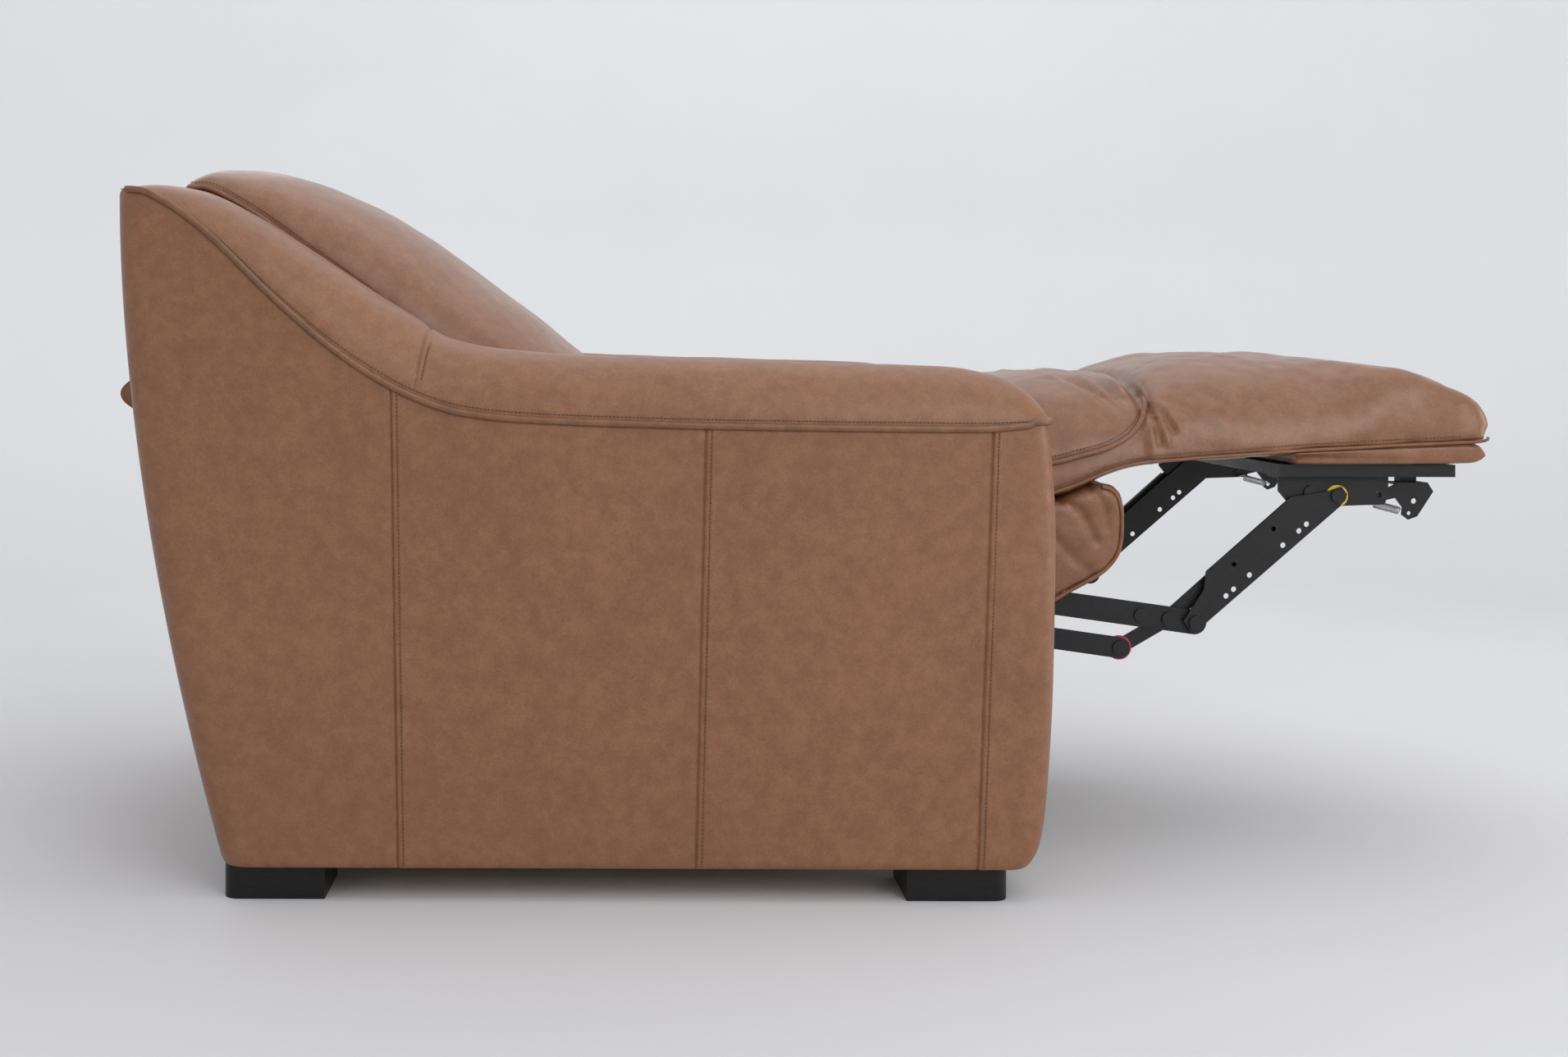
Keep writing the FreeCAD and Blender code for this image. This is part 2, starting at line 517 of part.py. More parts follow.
def make_footrest():
    half = CUSHION_HALF
    end_low = pad_underside(PAD_END - 14)
    top = [(PAD_START, 590), (1262, 606), (1310, PAD_TOP), (1410, PAD_TOP), (1480, PAD_TOP - 3),
           (1556, 596), (PAD_END - 12, 566), (PAD_END, 545), (PAD_END - 4, 526), (PAD_END - 14, end_low)]
    start_low = pad_underside(PAD_START)
    nodes["footrest_pad"] = smooth_slab(top, -half, half, (PAD_START, start_low), (PAD_START, start_low))
    board_top = BOARD_BOTTOM + BOARD_THICKNESS
    lower = [(1398, board_top), (PAD_END - 12, board_top), (PAD_END - 4, 500),
             (PAD_END - 20, pad_underside(PAD_END - 20)), (1398, pad_underside(1398))]
    nodes["lower_pad"] = slab(lower, -half, half)
    nodes["footrest_board"] = block(BOARD_START, BOARD_END, -half + 12, half - 12, BOARD_BOTTOM, board_top)

    outer = LAYER_ARMS + PLATE
    web = [(1388, BOARD_BOTTOM), (1388, 452), (1400, 438), (1440, 433), (1520, 436), (1524, 452),
           (1524, BOARD_BOTTOM)]
    bracket = slab(web, LAYER_ARMS, outer)
    bracket = drilled(bracket, [BRACKET_PIVOT], PIN_RADIUS + FIT, LAYER_ARMS)
    bracket = drilled(bracket, [V(1512, 0, 448)], PUNCHED_HOLE, LAYER_ARMS)
    flange = block(1388, 1524, LAYER_ARMS - 35, LAYER_ARMS, BOARD_BOTTOM - PLATE, BOARD_BOTTOM)
    add_pair("footrest_bracket", bracket.fuse(flange).removeSplitter())

    ear = [(1500, 444), (1536, 462), (1574, 463), (1581, 452), (1561, 421), (1550, 417), (1542, 423),
           (1543, 432), (1534, 444), (1510, 438)]
    hook = slab(ear, LAYER_ARMS - PLATE, LAYER_ARMS)
    hook = drilled(hook, [V(1557, 0, 440)], PUNCHED_HOLE, LAYER_ARMS - PLATE)
    hook = drilled(hook, [V(1551, 0, 425)], 2.6, LAYER_ARMS - PLATE)
    tab = block(1536, 1574, LAYER_ARMS - 30, LAYER_ARMS, 460, 463)
    post = block(1545, 1565, LAYER_ARMS - 30, LAYER_ARMS - 12, 463, BOARD_BOTTOM)
    add_group("hook_plates", [hook.fuse(tab).fuse(post).removeSplitter()])

    spring_axis = V(40, 0, -11)
    coil = Part.makeCylinder(5.0, 34.0, V(1508, LAYER_ARMS - 11, 436), spring_axis)
    core = Part.makeCylinder(3.6, 36.0, V(1507, LAYER_ARMS - 11, 436.3), spring_axis)
    add_group("footrest_springs", [coil.cut(core)])

    gap = LAYER_CHANNEL - outer
    add_group("bracket_rivets", [rivet(TOP_PIVOT, outer, LAYER_CHANNEL + PLATE)])
    add_group("yellow_washers", [washer(TOP_PIVOT, YELLOW_RADIUS, outer + gap / 8, gap * 3 / 4)])


# ---- linkage ---------------------------------------------------------------------------------------
def link_point(along, across):
    """A point on the channel link, along it from the elbow and across it towards its wide side."""
    direction = V(COUPLER.x, 0, COUPLER.z).normalize()
    return ELBOW_PIVOT + direction * along + V(-direction.z, 0, direction.x) * across


def make_linkage():
    outer = LAYER_ARMS + PLATE
    hole = PIN_RADIUS + FIT
    arm = drilled(strap([ARM_ROOT, ELBOW_PIVOT], DRIVE_ARM_HALF, LAYER_ARMS), [CRANK_PIVOT], hole, LAYER_ARMS)
    add_pair("drive_arm", arm)
    root_rivet = rivet(ARM_ROOT, outer, LAYER_SEAT + PLATE)
    elbow_rivet = rivet(ELBOW_PIVOT, outer, LAYER_CHANNEL + PLATE)
    mid_rivet = rivet(CRANK_PIVOT + (ARM_ROOT - CRANK_PIVOT) * 0.16, outer, outer)
    add_group("drive_arm_rivets", [root_rivet, elbow_rivet, mid_rivet])
    tube = disc(ARM_ROOT, TORQUE_TUBE_RADIUS, -LAYER_ARMS, LAYER_ARMS)
    nodes["torque_tube"] = tube.cut(disc(ARM_ROOT, TORQUE_TUBE_BORE, -LAYER_ARMS - 1, LAYER_ARMS + 1))

    guide = drilled(strap([GUIDE_ROOT, GUIDE_END], GUIDE_ARM_HALF, LAYER_ARMS), [GUIDE_END], hole, LAYER_ARMS)
    add_pair("guide_arm", guide)
    add_group("guide_arm_rivets", [rivet(GUIDE_ROOT, outer, LAYER_SEAT + PLATE)])

    length = COUPLER.Length
    rim = [(-12, -8), (length - 6, -11), (length + 10, -6), (length + 11, 6), (length - 8, 14),
           (length - 44, 38), (52, 39), (34, 24), (-10, 12)]
    corners = [link_point(a, c) for a, c in rim]
    channel = slab([(c.x, c.z) for c in corners], LAYER_CHANNEL, LAYER_CHANNEL + PLATE)
    channel = drilled(channel, [ELBOW_PIVOT, TOP_PIVOT], hole, LAYER_CHANNEL)
    shares = (0.213, 0.266, 0.378, 0.613, 0.726, 0.779)
    channel = drilled(channel, [link_point(length * s, 0) for s in shares], PUNCHED_HOLE, LAYER_CHANNEL)
    channel = drilled(channel, [link_point(length * s, 23) for s in (0.354, 0.633)], 3.0, LAYER_CHANNEL)
    lip = [link_point(a, c) for a, c in ((60, 36), (length - 52, 36), (length - 52, 39), (60, 39))]
    edge = slab([(c.x, c.z) for c in lip], LAYER_CHANNEL + PLATE, LAYER_CHANNEL + PLATE + 5)
    add_pair("channel_link", channel.fuse(edge).removeSplitter())

    cranked = strap([GUIDE_END, CRANK_PIVOT, BRACKET_PIVOT], CRANKED_HALF, LAYER_CRANKED)
    add_pair("cranked_link", cranked)
    crank_outer = LAYER_CRANKED + PLATE
    studs = [rivet(CRANK_PIVOT, crank_outer, outer), rivet(BRACKET_PIVOT, crank_outer, outer),
             rivet(GUIDE_END, crank_outer, outer)]
    add_group("cranked_link_rivets", studs)
    gap = LAYER_ARMS - crank_outer
    add_group("red_washers", [washer(GUIDE_END, RED_RADIUS, crank_outer + gap / 8, gap * 3 / 4)])


def write_parts():
    """Moves the assembly so its origin is the bottom centre of its box, and writes every node."""
    os.makedirs("parts", exist_ok=True)
    box = Part.makeCompound(list(nodes.values())).BoundBox
    shift = V(-(box.XMin + box.XMax) / 2, 0, 0)
    for name, shape in nodes.items():
        shape.translate(shift)
        shape.exportStep("parts/" + name + ".step")
    for name, point in (("back", BACK_PIVOT), ("fold", FOLD_CENTRE), ("drive arm", ARM_ROOT),
                        ("guide arm", GUIDE_ROOT), ("channel link", ELBOW_PIVOT),
                        ("cranked link", CRANK_PIVOT)):
        at = point + shift
        print("%s pivot at x %.4f z %.4f" % (name, at.x, at.z))
    print("box %.1f x %.1f x %.1f, lowest z %.2f, %d nodes"
          % (box.XLength, box.YLength, box.ZLength, box.ZMin, len(nodes)))


make_shell()
make_rear()
make_feet()
make_base_metal()
make_controls()
make_seat()
make_back()
make_footrest()
make_linkage()
write_parts()
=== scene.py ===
import json
import math

import bmesh
import bpy
import numpy as np
from mathutils import Matrix, Vector

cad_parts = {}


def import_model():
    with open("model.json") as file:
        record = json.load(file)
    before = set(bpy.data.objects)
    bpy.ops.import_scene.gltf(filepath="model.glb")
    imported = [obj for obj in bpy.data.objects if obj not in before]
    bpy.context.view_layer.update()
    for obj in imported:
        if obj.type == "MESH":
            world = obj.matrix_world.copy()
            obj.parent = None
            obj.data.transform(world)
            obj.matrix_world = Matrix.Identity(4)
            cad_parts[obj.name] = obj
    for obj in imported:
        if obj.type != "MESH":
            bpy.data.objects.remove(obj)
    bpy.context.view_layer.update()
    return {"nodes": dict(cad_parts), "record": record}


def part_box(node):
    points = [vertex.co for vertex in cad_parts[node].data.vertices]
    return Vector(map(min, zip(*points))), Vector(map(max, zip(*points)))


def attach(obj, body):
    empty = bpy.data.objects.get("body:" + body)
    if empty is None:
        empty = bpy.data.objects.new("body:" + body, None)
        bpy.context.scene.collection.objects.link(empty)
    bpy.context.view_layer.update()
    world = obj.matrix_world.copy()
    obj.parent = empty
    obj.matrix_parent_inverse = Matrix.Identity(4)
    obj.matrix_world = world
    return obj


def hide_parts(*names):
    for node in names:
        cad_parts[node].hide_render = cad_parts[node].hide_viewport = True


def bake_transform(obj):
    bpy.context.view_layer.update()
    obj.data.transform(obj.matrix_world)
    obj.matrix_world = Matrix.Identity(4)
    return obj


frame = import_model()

MM = 0.001
REAR_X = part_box("rear_cover")[0].x           # metres; profile X of 0 is the rear of the shell

# Shapes are given in profile millimetres: X from the rear of the shell, Y, and Z from the floor.
ARM_LOW, ARM_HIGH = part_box("arm_cover_left")
HALF_WIDTH = ARM_HIGH.y / MM
INNER_FACE = ARM_LOW.y / MM                  # the arms' sides toward the sitter
SHELL_FRONT = (ARM_HIGH.x - REAR_X) / MM
BASE_Z = ARM_LOW.z / MM
CUSHION_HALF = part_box("footrest_pad")[1].y / MM + 1
SIDES = ((1, "left"), (-1, "right"))
STITCH_PITCH, STITCH_LENGTH, STITCH_RADIUS = 4.4, 3.2, 0.6


# ------------------------ helpers
def clamp(value):
    return np.clip(value, 0, 1)


def bell(distance, width):
    return np.exp(-(distance / width) ** 2)


def smooth_curve(points):
    """A function of x that passes through given points, in millimetres, without overshoot."""
    px = np.array([p[0] for p in points], float)
    pz = np.array([p[1] for p in points], float)
    h = np.diff(px)
    slope = np.diff(pz) / h
    m = np.zeros(len(px))
    m[0], m[-1] = slope[0], slope[-1]
    for i in range(1, len(px) - 1):
        if slope[i - 1] * slope[i] > 0:
            m[i] = 2 * slope[i - 1] * slope[i] / (slope[i - 1] + slope[i])

    def value(x):
        x = np.clip(np.asarray(x, float), px[0], px[-1])
        i = np.clip(np.searchsorted(px, x, side="right") - 1, 0, len(h) - 1)
        t = (x - px[i]) / h[i]
        a = 2 * t ** 3 - 3 * t ** 2 + 1
        b = t ** 3 - 2 * t ** 2 + t
        c = -2 * t ** 3 + 3 * t ** 2
        d = t ** 3 - t ** 2
        return a * pz[i] + b * h[i] * m[i] + c * pz[i + 1] + d * h[i] * m[i + 1]

    return value


def smooth_path(points, count):
    """count points along a Catmull-Rom line through the given points (any dimension)."""
    p = np.array(points, float)
    p = np.vstack([2 * p[0] - p[1], p, 2 * p[-1] - p[-2]])
    fine = []
    for i in range(1, len(p) - 2):
        for t in np.linspace(0, 1, 24, endpoint=False):
            fine.append(0.5 * (2 * p[i] + (p[i + 1] - p[i - 1]) * t
                               + (2 * p[i - 1] - 5 * p[i] + 4 * p[i + 1] - p[i + 2]) * t * t
                               + (3 * p[i] - p[i - 1] - 3 * p[i + 1] + p[i + 2]) * t ** 3))
    fine.append(p[-2])
    return resample(np.array(fine), count)


def matched_paths(lines, count):
    """Smooth paths that keep matching points of several lines together, evenly spaced along the first."""
    joined = np.hstack([np.array(line, float) for line in lines])
    even = resample(smooth_path(joined, 24 * len(joined)), count, slice(0, 2))
    return [even[:, 2 * k:2 * k + 2] for k in range(len(lines))]


def resample(path, count, measured=slice(None)):
    """count evenly spaced points of a path; measured picks the columns that give its length."""
    run = np.concatenate([[0], np.cumsum(np.linalg.norm(np.diff(path[:, measured], axis=0), axis=1))])
    at = np.linspace(0, run[-1], count)
    return np.column_stack([np.interp(at, run, path[:, k]) for k in range(path.shape[1])])


def world(points):
    """Profile millimetres (X from the rear, Y, Z) to the row frame in metres."""
    p = np.asarray(points, float) * MM
    return p + np.array([REAR_X, 0, 0])


def add_object(name, mesh, material):
    mesh.polygons.foreach_set("use_smooth", [True] * len(mesh.polygons))
    mesh.materials.append(material)
    obj = bpy.data.objects.new(name, mesh)
    bpy.context.scene.collection.objects.link(obj)
    return obj


def new_mesh(name, verts, faces, material):
    mesh = bpy.data.meshes.new(name)
    mesh.from_pydata([tuple(v) for v in verts], [], faces)
    mesh.validate()
    return add_object(name, mesh, material)


def grid_faces(nu, nv, close_u=False, close_v=False):
    faces = []
    for i in range(nu if close_u else nu - 1):
        for j in range(nv if close_v else nv - 1):
            row, next_row = i * nv, ((i + 1) % nu) * nv
            faces.append((row + j, next_row + j, next_row + (j + 1) % nv, row + (j + 1) % nv))
    return faces


def grid_mesh(name, points, material, close_u=False, close_v=False, cap=False):
    """A surface from points[u, v] in profile millimetres; cap closes both ends of a tube along u."""
    nu, nv = points.shape[:2]
    verts = world(points.reshape(-1, 3))
    faces = grid_faces(nu, nv, close_u, close_v)
    if cap:
        faces.append(tuple(range(nv)))
        faces.append(tuple(range((nu - 1) * nv, nu * nv))[::-1])
    obj = new_mesh(name, verts, faces, material)
    fix_normals(obj)
    return obj


def fix_normals(obj):
    bm = bmesh.new()
    bm.from_mesh(obj.data)
    bmesh.ops.recalc_face_normals(bm, faces=bm.faces)
    bm.to_mesh(obj.data)
    bm.free()


def directions(path, outward):
    """Unit vectors along, out of and across a path, at each of its points."""
    tangent = np.gradient(path, axis=0)
    tangent /= np.linalg.norm(tangent, axis=1)[:, None]
    out = outward - (outward * tangent).sum(1)[:, None] * tangent
    out /= np.linalg.norm(out, axis=1)[:, None]
    return tangent, out, np.cross(tangent, out)


def tube(name, path, size, material, outward, round_power=2.0):
    """A welt or wire along path: size is (half width along outward, half height across)."""
    _, out, side = directions(path, np.asarray(outward, float))
    rings = []
    for a in np.linspace(0, 2 * math.pi, 12, endpoint=False):
        c = math.copysign(abs(math.cos(a)) ** (2 / round_power), math.cos(a))
        s = math.copysign(abs(math.sin(a)) ** (2 / round_power), math.sin(a))
        rings.append(path + out * size[0] * c + side * size[1] * s)
    return grid_mesh(name, np.stack(rings, axis=1), material, close_v=True, cap=True)


def stitch_mesh(name, rows):
    """Rows of short thread stitches. Each row is (path, outward), lying on the leather."""
    verts, faces = [], []
    ring = 6
    stations = ((-0.5, 0.25), (-0.32, 0.9), (0.0, 1.0), (0.32, 0.9), (0.5, 0.25))    # of length, of radius
    for path, outward in rows:
        run = np.linalg.norm(np.diff(path, axis=0), axis=1).sum()
        count = max(2, int(run / STITCH_PITCH))
        at = resample(path, count)
        outward = np.asarray(outward, float)
        tangent, out, side = directions(at, outward if outward.ndim == 1 else resample(outward, count))
        for k in range(count):
            first = len(verts)
            for share, fat in stations:
                centre = at[k] + tangent[k] * share * STITCH_LENGTH + out[k] * STITCH_RADIUS * 0.35
                for a in np.arange(ring) * 2 * math.pi / ring:
                    across = out[k] * math.cos(a) + side[k] * math.sin(a)
                    verts.append(centre + across * STITCH_RADIUS * fat)
            for i in range(len(stations) - 1):
                for m in range(ring):
                    b, c = first + i * ring, first + (i + 1) * ring
                    faces.append((b + m, c + m, c + (m + 1) % ring, b + (m + 1) % ring))
            faces.append(tuple(first + m for m in range(ring)))
            faces.append(tuple(first + (len(stations) - 1) * ring + m for m in range(ring))[::-1])
    obj = new_mesh(name, world(np.array(verts)), faces, THREAD)
    fix_normals(obj)
    return obj


def value_noise(p, scale, seed):
    """Smooth repeatable noise from sums of sines, about -1 to 1; p in millimetres."""
    gen = np.random.default_rng(seed)
    total = np.zeros(p.shape[:-1])
    for _ in range(7):
        k = gen.normal(size=3)
        k = k / np.linalg.norm(k) * (2 * math.pi / scale) * gen.uniform(0.6, 1.5)
        total += np.sin(p @ k + gen.uniform(0, 6.28))
    return total / 3.0


# ------------------------ materials
def node_material(name):
    mat = bpy.data.materials.new(name)
    mat.use_nodes = True
    tree = mat.node_tree
    return mat, tree, tree.nodes["Principled BSDF"]


def add_node(tree, kind, **values):
    node = tree.nodes.new(kind)
    for key, value in values.items():
        if key in node.inputs:
            node.inputs[key].default_value = value
        else:
            setattr(node, key, value)
    return node


def object_coords(tree):
    return add_node(tree, "ShaderNodeTexCoord").outputs["Object"]


def noise(tree, coords, scale, detail=3.0, rough=0.55, distortion=0.0):
    node = add_node(tree, "ShaderNodeTexNoise", Scale=scale, Detail=detail, Roughness=rough,
                    Distortion=distortion)
    tree.links.new(coords, node.inputs["Vector"])
    return node.outputs["Fac"]


def ramp(tree, source, stops):
    node = add_node(tree, "ShaderNodeValToRGB")
    elements = node.color_ramp.elements
    while len(elements) < len(stops):
        elements.new(0.5)
    for element, (at, colour) in zip(elements, stops):
        element.position = at
        element.color = (*colour, 1.0)
    tree.links.new(source, node.inputs["Fac"])
    return node.outputs["Color"]


def darken(tree, colour, shade, amount):
    node = add_node(tree, "ShaderNodeMix", data_type="RGBA", blend_type="MULTIPLY")
    node.inputs[0].default_value = amount
    tree.links.new(colour, node.inputs[6])
    tree.links.new(shade, node.inputs[7])
    return node.outputs[2]


def math_node(tree, operation, *values):
    node = add_node(tree, "ShaderNodeMath", operation=operation)
    for socket, value in zip(node.inputs, values):
        if isinstance(value, bpy.types.NodeSocket):
            tree.links.new(value, socket)
        else:
            socket.default_value = value
    return node.outputs[0]


def uneven_gloss(tree, shader, source, rough, spread):
    """Roughness that wanders by spread about rough."""
    wander = math_node(tree, "MULTIPLY", source, spread)
    tree.links.new(math_node(tree, "ADD", wander, rough - spread / 2), shader.inputs["Roughness"])


def bump(tree, height, strength, distance, below=None):
    node = add_node(tree, "ShaderNodeBump", Strength=strength, Distance=distance)
    tree.links.new(height, node.inputs["Height"])
    if below is not None:
        tree.links.new(below, node.inputs["Normal"])
    return node.outputs["Normal"]


def leather(name, dark, base, light, rough, grain, crease, coat):
    """Semi-aniline leather: cloudy colour, pebble grain with pores, soft crease lines, broad sheen."""
    mat, tree, shader = node_material(name)
    coords = object_coords(tree)
    cloud = noise(tree, coords, 62.0, 4.0, 0.55, 0.15)
    colour = ramp(tree, cloud, ((0.34, dark), (0.50, base), (0.64, light)))
    patch = noise(tree, coords, 5.0, 2.0, 0.5, 0.2)
    tone = ramp(tree, patch, ((0.3, (0.94, 0.94, 0.94)), (0.7, (1.04, 1.04, 1.04))))
    colour = darken(tree, colour, tone, 1.0)
    pebble = add_node(tree, "ShaderNodeTexVoronoi", feature="SMOOTH_F1", Scale=620.0, Smoothness=0.25)
    tree.links.new(coords, pebble.inputs["Vector"])
    cracks = ramp(tree, pebble.outputs["Distance"], ((0.25, (1.0, 1.0, 1.0)), (0.8, (0.72, 0.69, 0.67))))
    colour = darken(tree, colour, cracks, 0.55)
    speck = noise(tree, coords, 260.0, 2.0, 0.6)
    flecks = ramp(tree, speck, ((0.35, (0.86, 0.86, 0.86)), (0.6, (1.06, 1.05, 1.04))))
    colour = darken(tree, colour, flecks, 0.5)
    tree.links.new(colour, shader.inputs["Base Color"])
    uneven_gloss(tree, shader, noise(tree, coords, 90.0, 4.0, 0.6), rough, 0.16)
    hills = bump(tree, noise(tree, coords, 34.0, 3.0, 0.5), crease, 0.004)
    wrinkle = add_node(tree, "ShaderNodeTexVoronoi", feature="DISTANCE_TO_EDGE", Scale=150.0)
    tree.links.new(coords, wrinkle.inputs["Vector"])
    lines = bump(tree, wrinkle.outputs["Distance"], crease * 0.35, 0.0008, hills)
    flipped = math_node(tree, "SUBTRACT", 1.0, pebble.outputs["Distance"])
    fine = bump(tree, flipped, grain, 0.00045, lines)
    tree.links.new(fine, shader.inputs["Normal"])
    shader.inputs["Specular IOR Level"].default_value = 0.42
    shader.inputs["Coat Weight"].default_value = coat
    shader.inputs["Coat Roughness"].default_value = 0.30
    return mat


def plain_material(name, dark, light, rough, metal=0.0, scale=120.0, grain=0.15, stretch=None, coat=0.0,
                   specular=0.5):
    """Paint, plastic, metal, wood or thread: two tones of noise, uneven gloss and a fine bump."""
    mat, tree, shader = node_material(name)
    coords = object_coords(tree)
    if stretch:
        mapping = add_node(tree, "ShaderNodeMapping", Scale=stretch)
        tree.links.new(coords, mapping.inputs["Vector"])
        coords = mapping.outputs["Vector"]
    cloud = noise(tree, coords, scale, 4.0, 0.6)
    tree.links.new(ramp(tree, cloud, ((0.3, dark), (0.7, light))), shader.inputs["Base Color"])
    uneven_gloss(tree, shader, noise(tree, coords, scale * 0.6, 3.0), rough, 0.2)
    tree.links.new(bump(tree, noise(tree, coords, scale * 9, 2.0), grain, 0.0006), shader.inputs["Normal"])
    shader.inputs["Metallic"].default_value = metal
    shader.inputs["Coat Weight"].default_value = coat
    shader.inputs["Specular IOR Level"].default_value = specular
    return mat


SIDE = leather("side_leather", (0.232, 0.098, 0.043), (0.256, 0.111, 0.050), (0.280, 0.125, 0.058),
               0.43, 0.45, 0.06, 0.14)
SEAT = leather("seat_leather", (0.222, 0.094, 0.043), (0.246, 0.108, 0.051), (0.270, 0.122, 0.060),
               0.33, 0.36, 0.10, 0.22)
WELT = leather("welt_leather", (0.188, 0.078, 0.035), (0.216, 0.091, 0.042), (0.243, 0.106, 0.050),
               0.40, 0.25, 0.06, 0.14)
THREAD = plain_material("brown_thread", (0.075, 0.034, 0.017), (0.125, 0.060, 0.031), 0.6, scale=900.0,
                        grain=0.4)
PAINT = plain_material("black_powder_coat", (0.004, 0.004, 0.0045), (0.008, 0.008, 0.0085), 0.38,
                       scale=160.0, grain=0.35, specular=0.4)
FOOT = plain_material("foot_lacquer", (0.006, 0.005, 0.006), (0.012, 0.010, 0.011), 0.42, scale=60.0,
                      grain=0.10, stretch=(1.0, 6.0, 6.0), coat=0.05, specular=0.25)
ZINC = plain_material("zinc_plate", (0.42, 0.43, 0.44), (0.68, 0.69, 0.70), 0.34, metal=1.0, scale=300.0)
YELLOW = plain_material("yellow_plastic", (0.62, 0.42, 0.02), (0.80, 0.58, 0.03), 0.35, scale=200.0)
RED = plain_material("red_plastic", (0.42, 0.02, 0.05), (0.62, 0.05, 0.09), 0.35, scale=200.0)
BLACK_PLASTIC = plain_material("black_plastic", (0.012, 0.012, 0.013), (0.024, 0.024, 0.025), 0.55,
                               scale=400.0, grain=0.3)
PLYWOOD = plain_material("plywood", (0.46, 0.31, 0.17), (0.66, 0.48, 0.29), 0.65, scale=40.0,
                         grain=0.25, stretch=(1.0, 9.0, 9.0))
CLOTH = plain_material("black_cloth", (0.010, 0.010, 0.011), (0.030, 0.030, 0.032), 0.92, scale=900.0,
                       grain=0.6)
WEBBING = plain_material("webbing", (0.30, 0.25, 0.17), (0.52, 0.44, 0.32), 0.85, scale=700.0, grain=0.6)
METAL = plain_material("satin_metal", (0.46, 0.46, 0.47), (0.62, 0.62, 0.63), 0.32, metal=1.0, scale=260.0)


def dress_cad_nodes():
    """Every CAD node gets a material; the soft ones are hidden later by the pieces that replace them."""
    by_slot = {"side_leather": SIDE, "seat_leather": SEAT, "foot_lacquer": FOOT, "plywood": PLYWOOD,
               "black_cloth": CLOTH, "webbing": WEBBING, "black_board": PAINT, "black_steel": PAINT,
               "zinc": ZINC, "rivet_steel": PAINT, "yellow_plastic": YELLOW, "red_plastic": RED,
               "black_plastic": BLACK_PLASTIC, "button_metal": METAL}
    slots = {s["node"]: s["material_slot"] for s in frame["record"]["subparts"]}
    for name, node in frame["nodes"].items():
        node.data.materials.clear()
        node.data.materials.append(by_slot[slots[name]])


# ------------------------ shell profile, in millimetres
WELT_LINE = smooth_curve([(0, 804), (29, 802), (60, 788), (92, 766), (131, 731), (166, 696), (205, 660),
                          (252, 621), (299, 590), (338, 570), (393, 552), (452, 545), (574, 540),
                          (707, 537), (974, 535), (1030, 539), (1062, 545)])
CROWN_LINE = smooth_curve([(0, 806), (43, 813), (82, 808), (135, 785), (184, 756), (232, 724),
                           (286, 687), (330, 658), (355, 641), (384, 633), (428, 626), (517, 618),
                           (703, 612), (877, 608), (964, 604), (1000, 598), (1028, 588), (1046, 574),
                           (1056, 560), (1062, 546)])
FRONT_LINE = smooth_curve([(38, 1040), (60, 1052), (109, 1060), (258, 1068), (416, 1070), (493, 1066),
                           (546, 1061), (610, 1058)])
SEAMS = (((40, 324), (573, 314)), ((34, 660), (534, 670)), ((34, 978), (530, 994)))     # (z, x) at both ends
SEAM_MIDDLES = (319, 665, 986)
REAR_RADIUS, FRONT_RADIUS, INNER_RADIUS = 34.0, 26.0, 16.0
REAR_TOP = 804.0
ARM_END = 1062.0
REAR_STRAIGHT, REAR_RAKE = 790.0, 121.0      # height where the rear starts to rake, and its foot's setback
CROSS_X = 345.0                              # the top panel's cross seam
CROSS_SEAM = (352.0, 338.0)                  # its X at the crown and at the welt
THREAD_OFFSET = 6.5                          # from a seam to its row of stitches
SEAM_REACH = 40                              # relief ends this far from a seam
SIDE_SWELL = 1.6
WELT_PROUD = 0.8
WINDOW_RIM = (7.0, 4.5)                      # control plate left over the leather, along and up


def rear_line(z):
    share = clamp((REAR_STRAIGHT - np.asarray(z, float)) / (REAR_STRAIGHT - BASE_Z))
    return REAR_RAKE * share ** 1.75


def seam_x(seam, z):
    (z0, x0), (z1, x1) = seam
    return x0 + (x1 - x0) * (np.asarray(z, float) - z0) / (z1 - z0)


def seam_relief(d):
    """How a topstitched seam stands off the panel, at signed distance d to its right, in millimetres."""
    groove = -2.2 * bell(d, 1.1)
    lap = 0.8 / (1 + np.exp(np.clip(1.0 - 2.0 * d, None, 60))) * np.exp(-np.clip(d - 9, 0, None) / 5)
    pull = -0.5 * bell(d + 3, 4)
    thread = -0.45 * bell(d - THREAD_OFFSET, 1.1)
    return groove + lap + pull + thread


def corner_inset(distance, radius):
    """How far a rounded corner falls back, at a distance in from its edge."""
    fall = radius - np.sqrt(np.clip(radius ** 2 - (radius - distance) ** 2, 0, None))
    return np.where(distance < radius, fall, 0)


def columns_between(length, left_seam, right_seam):
    """Shares from 0 to 1 along one panel, dense beside a seam."""
    marks = [0.0]
    x = 0.0
    while x < length - 1e-6:
        near = min(x if left_seam else 1e9, length - x if right_seam else 1e9)
        x += 0.9 if near < 12 else (2.0 if near < 22 else 9.0)
        marks.append(min(x, length) / length)
    if len(marks) > 2 and marks[-1] - marks[-2] < 1e-4:
        marks.pop(-2)
    return np.array(marks)


